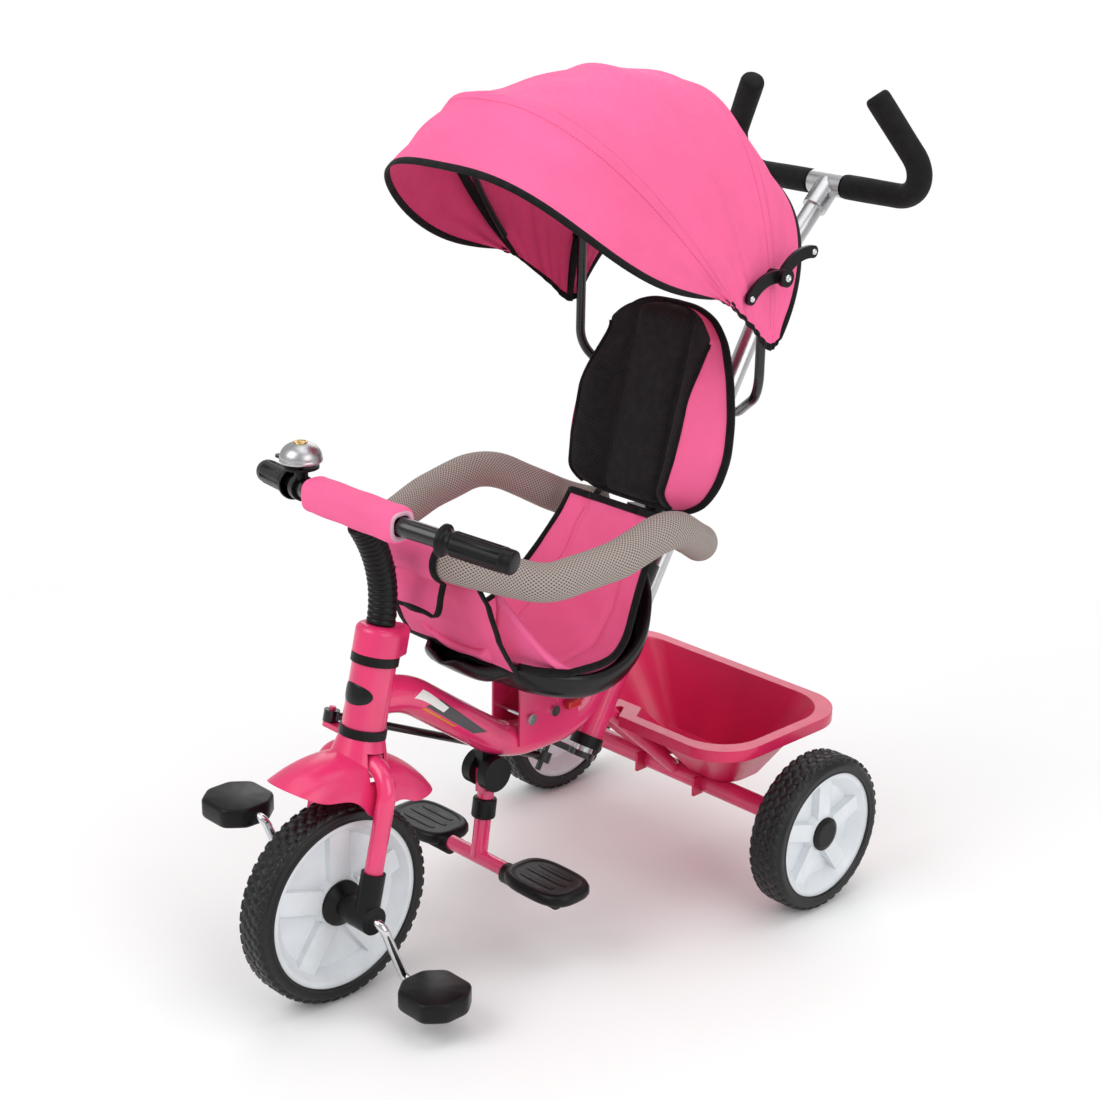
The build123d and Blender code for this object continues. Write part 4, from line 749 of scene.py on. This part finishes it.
ring_y, ring_z = -225, 520
ring_half = in_mm([(60, ring_y, ring_z), (142, -166, 505), (166, -78, 520), (163, 15, 540), (120, 120, 480),
                   (19, 159.3, 475.2)])
ring_bends = [r * mm for r in (70, 55, 95, 95, 60)]
bare_end = 52 * mm
ring_line = rounded(list(ring_half[::-1] * mirror) + list(ring_half), ring_bends[::-1] + ring_bends, 3 * mm)
ring_run = lengths(ring_line)
foam_line = ring_line[(ring_run > bare_end) & (ring_run < ring_run[-1] - bare_end)]
foam_run = lengths(foam_line)
swell = 22.7 * mm + 0.35 * mm * np.sin(foam_run / (31 * mm)) + 0.2 * mm * np.sin(foam_run / (11 * mm))
swell = swell * (0.8 + 0.2 * quarter(np.minimum(foam_run, foam_run[-1] - foam_run) / (9 * mm)))
guard_sleeve = tube("guard_sleeve", foam_line, swell, mats["grey_foam"], 44, (0, 0, 1))
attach(guard_sleeve, "frame")
stands_for("guard_foam")
for number, stretch in enumerate((foam_line[1:5], foam_line[-6:-2])):
    end_tape = tube(f"guard_end_tape_{number}", stretch, 23.1 * mm, binding, 32, (0, 0, 1), caps=False)
    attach(end_tape, "frame")


# Front panel between the seat and the ring, with a flap over the ring

wrap_r = 25.2
wrap = [(ring_y + wrap_r * math.cos(a), ring_z + wrap_r * math.sin(a)) for a in np.radians(np.linspace(20, 250, 26))]
panel_line = in_mm([(-163, 376), (-180, 402), (-192, 426), (-199, 455), (-203, 482), (-204, 500)] + wrap
                   + [(-238, 480), (-240, 466), (-239, 452)])
panel_line = resample(panel_line, 84)
panel_run = lengths(panel_line)
half_at = np.interp(panel_run, in_mm([0, 30, 70, 104, 124, 138, 150]), in_mm([99, 99, 95, 87, 72, 54, 47]))
corner = 18 * mm
to_end = np.clip(panel_run[-1] - panel_run, 0, corner)
half_at = half_at - corner + np.sqrt(corner ** 2 - (corner - to_end) ** 2)
panel_step = np.gradient(panel_line, axis=0)
s = np.linspace(-1, 1, 33)
panel = np.zeros((len(panel_line), len(s), 3))
for i, run in enumerate(panel_run):
    off = unit([-panel_step[i, 1], panel_step[i, 0]])
    puff = 1.4 * mm * np.sin(s * 5 + run / (17 * mm)) * (1 - s ** 2)
    hollow = -5 * mm * (1 - s ** 2) * math.sin(math.pi * min(1.0, run / (125 * mm)))
    panel[i] = np.stack([half_at[i] * s, panel_line[i, 0] + off[0] * (puff + hollow),
                         panel_line[i, 1] + off[1] * (puff + hollow)], axis=1)
front_panel = sheet_mesh("seat_front_panel", panel, mats["pink_fabric"])
thick(front_panel, 2.2 * mm)
panel_tape = strip("front_panel_binding", *hem(panel, normals(panel), 2, 2), 5 * mm, 1.9 * mm, binding, lead=1.0 * mm)
ride_all((front_panel, panel_tape), "frame")
stands_for("crotch_panel")


# Handlebar pad: a foam sleeve in pink fabric with a lengthwise flap

bar_y, bar_z = -323, 594
bar_mid = in_mm((0, bar_y, bar_z))


def pad_swell(x):
    return 0.3 * math.sin(x / 9.0)


pad_end = [(-78.0, 12.5), (-78.0, 15.0), (-77.2, 17.6), (-75.0, 19.2), (-71.0, 19.8)]
pad_shape = (pad_end + [(x, 19.8 + pad_swell(x)) for x in np.linspace(-66, 66, 23)]
             + [(-x, r) for x, r in pad_end[::-1]])
foam_shape = [(77.4, 11.4), (78.2, 12.0), (78.4, 14.4), (77.9, 16.4), (77.0, 16.9)]
bar_pad = revolve("handlebar_pad_sleeve", bar_mid, (1, 0, 0), pad_shape, mats["pink_fabric"], 64, square=3.0)
pad_ends = [revolve(f"handlebar_pad_foam_{tag}", bar_mid, (sign, 0, 0), foam_shape, pad_foam, square=3.0)
            for sign, tag in both_sides]
flap_turn = np.radians(np.linspace(-118, -62, 9))
flap = in_mm([[(x, bar_y + (20.6 + pad_swell(x)) * math.cos(a), bar_z + (20.6 + pad_swell(x)) * math.sin(a))
               for a in flap_turn] for x in np.linspace(-72, 72, 30)])
pad_flap = sheet_mesh("handlebar_pad_flap", flap, mats["pink_fabric"])
thick(pad_flap, 0.9 * mm)
pad_seam = stitches("handlebar_pad_stitch", flap[:, 1], normals(flap)[:, 1])
ride_all([bar_pad, pad_flap, pad_seam] + pad_ends, "steering")
stands_for("handlebar_pad")


# Push handle grips: foam sleeves over the bar and its upturned ends

push_line = in_mm([(27, 474, 866), (183, 474, 866), (102, 431, 992)])
push_bend, push_r = 40 * mm, 16 * mm
for sign, tag in both_sides:
    line = rounded(push_line if sign > 0 else push_line * mirror, [push_bend], 3 * mm)
    out = unit(line[-1] - line[-2])
    line = np.vstack([line, line[-1] + out * 2 * mm, line[-1] + out * 3.6 * mm])
    run = lengths(line)
    size = push_r * (0.72 + 0.28 * quarter(np.minimum(run / (3 * mm), (run[-1] - run) / (8 * mm))))
    size = size + 0.18 * mm * np.sin(run / (17 * mm))
    sleeve = tube(f"push_grip_{tag}", line, size, mats["black_foam"], 32, (0, 0, 1))
    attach(sleeve, "push_handle")
    stands_for("push_grips")


# Seat shell: a moulded saddle with a rolled rim, a round belly and a two-lobed nose

plan_half = np.array([(0, -201), (24, -199), (43, -190), (58, -172), (73, -152), (96, -129), (115, -107), (125, -80),
                      (128, -51), (126, -12), (118, 28), (96, 58), (58, 79), (24, 87)], dtype=float)
plan = np.vstack([plan_half, [(0, 88)], plan_half[:0:-1] * np.array([-1, 1])])
plan = even(resample(plan, 260, closed=True), 30)
belly_line = np.array([(-204, 374), (-150, 345), (-90, 329), (-22, 331), (28, 357), (64, 402), (90, 452)], dtype=float)
belly = np.polyfit(belly_line[:, 0] / 100, belly_line[:, 1], 5)
saddle_mid = np.array([0, -60], dtype=float)
# The shell's section from the inner edge over the rim to the middle of the belly: share of the plan, height in mm
saddle_cut = ((0.88, 20), (0.915, 30), (0.945, 35.5), (0.975, 37.5), (1.0, 35.5), (1.01, 30), (1.006, 23),
              (0.988, 15), (0.955, 8.5), (0.9, 4), (0.82, 1.2), (0.68, 0.2), (0.45, 0.1), (0.2, 0.1), (0.0, 0.1))
saddle = np.zeros((len(saddle_cut), len(plan) + 1, 3))
for i, (share, high) in enumerate(saddle_cut):
    ring = saddle_mid + (plan - saddle_mid) * share
    x, y = np.vstack([ring, ring[:1]]).T
    nose = ramp(-y, 148, 190)
    dip = -10 * bump_at(x, 17) * nose * ramp(high, 4, 30)
    waist = 11 * bump_at(y + 150, 13) * (1 - ramp(high, 10, 34)) * ramp(np.abs(x), 20, 50)
    z = np.polyval(belly, y / 100) + high * (1 - 0.5 * nose) + dip + waist
    saddle[i] = np.stack([x, y, z], axis=1) * mm
seat_saddle = sheet_mesh("seat_saddle", saddle, mats["gloss_black"])
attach(seat_saddle, "frame")
stands_for("seat_shell")


# Bell: a spun dome with a brass cap

dome_low, dome_high = box_of("bell_dome")
dome_foot = np.append(((dome_low + dome_high) / 2)[:2], dome_low[2])
dome_shape = [(1.0, 22.6), (0.0, 23.4), (0.0, 24.4), (0.8, 25.0), (3.5, 25.0), (4.2, 24.4), (5.0, 24.6), (9.0, 23.9),
              (13.0, 22.0), (16.5, 19.2), (19.4, 15.2), (21.2, 11.0), (22.0, 8.6), (22.0, 0.0)]
cap_shape = [(21.8, 8.6), (22.9, 8.2), (23.2, 6.6), (22.6, 5.6), (22.6, 3.4), (23.0, 2.8), (23.0, 0.0)]
bell_shell = revolve("bell_shell", dome_foot, (0, 0, 1), dome_shape, mats["aluminium_bell"], 64, (1, 0, 0))
bell_cap = revolve("bell_cap", dome_foot, (0, 0, 1), cap_shape, brass, 40, (1, 0, 0))
ride_all((bell_shell, bell_cap), "steering")
stands_for("bell_dome")


# Handlebar grips: flange, end rings and raised lengthwise bars

grip_long, grip_over, groove_deep = 92, 3, 1.5
bars_from, bars_to = 17.8, 76.5
grip_shape = np.array([(0, 17.6), (0.8, 18.5), (4.2, 18.5), (5, 17.6), (5.2, 14.6), (8, 14.5), (9, 13.6), (15, 13.6),
                       (16, 14.5), (17.4, 14.5), (18.2, 14.5), (76, 14.5), (77, 14.5), (79, 14.5), (80, 13.9),
                       (88, 13.9), (90.2, 13.3), (91.4, 12.0), (92, 9.6), (92, 0.0)])
grip_at, grip_r = grip_shape.T
barred = ((grip_at > bars_from) & (grip_at < bars_to)).astype(float)
grip_turn = np.linspace(0, 2 * math.pi, 97)
groove = groove_deep * (1 - ramp(np.abs(np.sin(grip_turn * 4)), 0.3, 0.5))
grip_reach = grip_r[:, None] - barred[:, None] * groove[None, :]
for sign, tag in both_sides:
    bend_at = np.array([sign * 86, bar_y, bar_z], dtype=float)
    bar_end = np.array([sign * 214, -286, 580], dtype=float)
    out = unit(bar_end - bend_at)
    across = unit(np.cross(out, (0, 0, 1)))
    up = np.cross(across, out)
    ring = np.cos(grip_turn)[:, None] * across + np.sin(grip_turn)[:, None] * up
    start = bar_end + out * (grip_over - grip_long)
    points = (start + grip_at[:, None] * out)[:, None, :] + grip_reach[..., None] * ring[None]
    grip = sheet_mesh(f"handlebar_grip_{tag}", points * mm, mats["black_plastic"])
    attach(grip, "steering")
    stands_for("grips")


# Stem sleeve: fine corrugations from the hood up to the bar

sleeve_rings = 19
p0, p1, p2, p3 = np.array([(0, -291, 449), (0, -279, 500), (0, -296, 545), (0, -318, 577)], dtype=float)
t = np.linspace(0, 1, 381)[:, None]
sleeve_line = p0 * (1 - t) ** 3 + p1 * 3 * t * (1 - t) ** 2 + p2 * 3 * t ** 2 * (1 - t) + p3 * t ** 3
sleeve_r = 15.6 + 1.5 * np.abs(np.sin(t[:, 0] * math.pi * sleeve_rings)) ** 0.7
stem_sleeve = tube("stem_sleeve", sleeve_line * mm, sleeve_r * mm, mats["black_plastic"], 40)
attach(stem_sleeve, "steering")
stands_for("bellows")


# Pedals and foot plates: moulded pads with soft edges; the foot plates have a sunk tread with raised bars

eight_sided = [(1, -0.42), (1, 0.42), (0.55, 1), (-0.55, 1), (-1, 0.42), (-1, -0.42), (-0.55, -1), (0.55, -1)]
eight_sided = even(resample(eight_sided, 96, closed=True))
eight_sided = np.vstack([eight_sided, eight_sided[:1]])


def squarish(power):
    """A closed outline one unit from the middle to each side: an ellipse at 2, near a rectangle at large powers."""
    turn = np.linspace(0, 2 * math.pi, 97)
    circle = np.stack([np.cos(turn), np.sin(turn)], axis=1)
    return np.sign(circle) * np.abs(circle) ** (2 / power)


def pad_block(name, low, high, plan, edge, sunk, body):
    """A pad of the given outline that fills a box in mm; where sunk isn't 0, its top lies that much below a rim."""
    low, high = np.array(low, dtype=float), np.array(high, dtype=float)
    mid, half = (low + high)[:2] / 2, (high - low)[:2] / 2
    inner = min(half)
    rows = [(inner, low[2]), (edge, low[2]), (edge * 0.3, low[2] + edge * 0.3), (0, low[2] + edge),
            (0, high[2] - edge), (edge * 0.3, high[2] - edge * 0.3), (edge, high[2])]
    if sunk:
        rows += [(edge + 2, high[2]), (edge + 3, high[2] - sunk), (edge + 6, high[2] - sunk)]
    rows.append((inner, high[2] - sunk))
    points = np.array([np.column_stack([mid + plan * half * (1 - inset / inner), np.full(len(plan), z)])
                       for inset, z in rows]) * mm
    block = sheet_mesh(name, points, mats["black_plastic"])
    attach(block, body)
    return block


plate_half_x, plate_half_y, plate_high, plate_top = 55, 37, 16, 110.6
plate_y, tread_gap = -127, 15.5
neck_y, neck_z, neck_r = -139, 96.8, 12.9
for sign, tag in both_sides:
    pedal_low, pedal_high = box_of(f"pedal_{tag}")
    pedal = pad_block(f"pedal_pad_{tag}", pedal_low / mm, pedal_high / mm, eight_sided, 4, 0, f"{tag}_pedal")
    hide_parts(f"pedal_{tag}")
    plate_x = sign * 109
    plate = pad_block(f"foot_plate_{tag}", (plate_x - plate_half_x, plate_y - plate_half_y, plate_top - plate_high),
                      (plate_x + plate_half_x, plate_y + plate_half_y, plate_top), squarish(3.0), 5, 0.8, "footrest")
    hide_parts("footplates")
    for k, reach in enumerate((29, 34, 29)):
        tread_y = plate_y + tread_gap * (k - 1)
        pad_block(f"foot_plate_bar_{tag}_{k}", (plate_x - reach, tread_y - 4, plate_top - 2.4),
                  (plate_x + reach, tread_y + 4, plate_top - 0.1), squarish(4), 0.6, 0, "footrest")
    neck = tube(f"foot_plate_neck_{tag}", in_mm([(sign * 50, neck_y, neck_z), (sign * 142, neck_y, neck_z)]),
                neck_r * mm, mats["black_plastic"], 32, (0, 0, 1))
    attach(neck, "footrest")
    stands_for("footplates")


# Bright screw heads on the canopy's pivots

screw_shape = np.array([(0, 1.0), (0.22, 1.0), (0.46, 0.84), (0.58, 0.56), (0.58, 0.42), (0.34, 0.36), (0.34, 0.0)])
screws = (("knob", (188.4, 172, 815), 4.6), ("front", (181.4, 118, 797), 3.8), ("rear", (181.4, 226, 838), 3.8))
for sign, tag in both_sides:
    for part, (x, y, z), size in screws:
        head = revolve(f"canopy_{part}_screw_{tag}", in_mm((sign * x, y, z)), (sign, 0, 0), screw_shape * size,
                       mats["chrome"], 28, (0, 0.3, 1))
        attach(head, "canopy")


# Decals on the main tube and a plain oval badge on the head tube

tube_line = rounded(in_mm([(0, -310, 364), (0, -257, 356), (0, -97, 241), (0, 26, 241)]), [110 * mm, 130 * mm], 2 * mm)
tube_run = lengths(tube_line)
tube_side, tube_up = frames(tube_line, (1, 0, 0))


def tube_at(along, angle, radius):
    """Points round the main tube's line."""
    k = np.interp(along, tube_run, np.arange(len(tube_run)))
    i = np.minimum(k.astype(int), len(tube_run) - 2)
    w = (k - i)[..., None]

    def between(rows):
        return rows[i] * (1 - w) + rows[i + 1] * w

    c, s = np.cos(angle)[..., None], np.sin(angle)[..., None]
    return between(tube_line) + (between(tube_side) * c + between(tube_up) * s) * radius


def decal(name, sign, corners, material, radius):
    """A thin sticker on one side of the tube; corners are (mm along it, degrees up from its side)."""
    a, b, c, d = [np.array((x, -up if sign > 0 else 180 + up), dtype=float) for x, up in corners]
    s, t = np.meshgrid(np.linspace(0, 1, 22), np.linspace(0, 1, 14), indexing="ij")
    s, t = s[..., None], t[..., None]
    place = (1 - s) * (1 - t) * a + s * (1 - t) * b + s * t * c + (1 - s) * t * d
    points = tube_at(place[..., 0] * mm, np.radians(place[..., 1]), radius * mm)
    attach(sheet_mesh(name, points, material), "frame")


for sign, tag in both_sides:
    decal(f"decal_dark_{tag}", sign, [(74, -12), (168, -20), (188, 4), (92, 28)], decal_grey, 22.75)
    decal(f"decal_pale_{tag}", sign, [(50, 4), (104, -4), (110, 16), (62, 34)], decal_white, 22.9)
    decal(f"decal_strip_{tag}", sign, [(70, -24), (132, -30), (138, -24), (74, -17)], decal_amber, 22.85)

head_lean = math.radians(13)
head_up = np.array([0, math.sin(head_lean), math.cos(head_lean)])
head_ahead = np.array([0, -math.cos(head_lean), math.sin(head_lean)])
badge_mid = in_mm(front_axle) + head_up * 252 * mm
badge_half_w, badge_half_h, badge_rise, head_r = 27 * mm, 12.5 * mm, 1.2 * mm, 26.15 * mm
turn, share = np.meshgrid(np.linspace(0, 2 * math.pi, 41), np.linspace(0, 1, 9), indexing="ij")
round_head = badge_half_w * share * np.cos(turn) / (26 * mm)
badge_up = badge_half_h * share * np.sin(turn)
badge_r = head_r + badge_rise * np.sqrt(np.clip(1 - share ** 2, 0, 1))
badge_pts = (badge_mid + (badge_r * np.sin(round_head))[..., None] * np.array([1.0, 0, 0])
             + badge_up[..., None] * head_up + (badge_r * np.cos(round_head))[..., None] * head_ahead)
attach(sheet_mesh("head_badge", badge_pts, mats["gloss_black"]), "frame")


# Finish of the CAD nodes that stay in sight: the basket's edges are rounded, and the push handle's tee is bright

weld = nodes["basket"].modifiers.new("weld", "WELD")
weld.merge_threshold = 0.02 * mm
bevel = nodes["basket"].modifiers.new("bevel", "BEVEL")
bevel.width = 2 * mm
bevel.segments = 3
bevel.limit_method = "ANGLE"
bevel.angle_limit = math.radians(40)
bevel.harden_normals = True
for name, obj in nodes.items():
    obj.data.materials.clear()
    obj.data.materials.append(mats["silver_tube" if name == "push_tee" else slot_of[name]])


# Studio: pale floor that fades to white, white surround, soft lamps

floor_half = 30
fade_from, fade_to = 0.7, 1.7
shade = Shade("floor_pale", rough=0.9, specular=0.1)
shade.tint(shade.noise(3, 2), (246, 246, 246), (250, 250, 250))
floor = mesh("floor", [(x * floor_half, y * floor_half, 0) for x, y in ((-1, -1), (1, -1), (1, 1), (-1, 1))],
             [(0, 1, 2, 3)], shade.mat)
far = shade.node("ShaderNodeVectorMath", {0: shade.coord()}, operation="LENGTH")
seen = shade.node("ShaderNodeLightPath", {}).outputs["Is Camera Ray"]
fade = shade.math("MULTIPLY", shade.span(far.outputs["Value"], fade_from, fade_to), seen)
white = shade.node("ShaderNodeEmission", {})
blend = shade.node("ShaderNodeMixShader", {0: fade, 1: shade.bsdf.outputs[0], 2: white.outputs[0]})
shade.link(blend.outputs[0], shade.out.inputs[0])

world = bpy.data.worlds.new("surround")
bpy.context.scene.world = world
world.use_nodes = True
sky = world.node_tree
sky.nodes.clear()
sky_out = sky.nodes.new("ShaderNodeOutputWorld")
sky_mix = sky.nodes.new("ShaderNodeMixShader")
sky_path = sky.nodes.new("ShaderNodeLightPath")
sky.links.new(sky_path.outputs["Is Camera Ray"], sky_mix.inputs[0])
for socket, strength in ((1, 0.55), (2, 1.0)):
    part = sky.nodes.new("ShaderNodeBackground")
    part.inputs["Color"].default_value = (1, 1, 1, 1)
    part.inputs["Strength"].default_value = strength
    sky.links.new(part.outputs[0], sky_mix.inputs[socket])
sky.links.new(sky_mix.outputs[0], sky_out.inputs[0])


def lamp(name, place, target, size, power):
    data = bpy.data.lights.new(name, "AREA")
    data.shape = "SQUARE"
    data.size = size
    data.energy = power
    obj = bpy.data.objects.new(name, data)
    bpy.context.scene.collection.objects.link(obj)
    obj.location = place
    obj.rotation_euler = (Vector(target) - Vector(place)).to_track_quat("-Z", "Y").to_euler()


lamp("key", (-0.6, -2.6, 2.6), (0, 0, 0.45), 2.2, 46)
lamp("side", (3.0, -0.2, 1.9), (0, 0, 0.5), 2.4, 34)
lamp("top", (0.2, 0.6, 3.2), (0, 0, 0.4), 2.8, 34)
lamp("back", (-2.4, 2.4, 2.0), (0, 0, 0.5), 2.2, 22)


# Camera: the photo's place, turn and lens

camera_place = Vector((1.7654, -1.7373, 1.3517))
az, el, roll = math.radians(45.859), math.radians(19.6045), math.radians(0.893)
back = Vector((math.sin(az) * math.cos(el), -math.cos(az) * math.cos(el), math.sin(el)))
level = Vector((math.cos(az), math.sin(az), 0))
upright = back.cross(level)
right = level * math.cos(roll) + upright * math.sin(roll)
up = upright * math.cos(roll) - level * math.sin(roll)
camera_data = bpy.data.cameras.new("photo_camera")
camera_data.sensor_width = 36
camera_data.lens = 70.295
camera = bpy.data.objects.new("photo_camera", camera_data)
bpy.context.scene.collection.objects.link(camera)
camera.matrix_world = Matrix.Translation(camera_place) @ Matrix((right, up, back)).transposed().to_4x4()
bpy.context.scene.camera = camera
bpy.context.scene.view_settings.view_transform = "Standard"
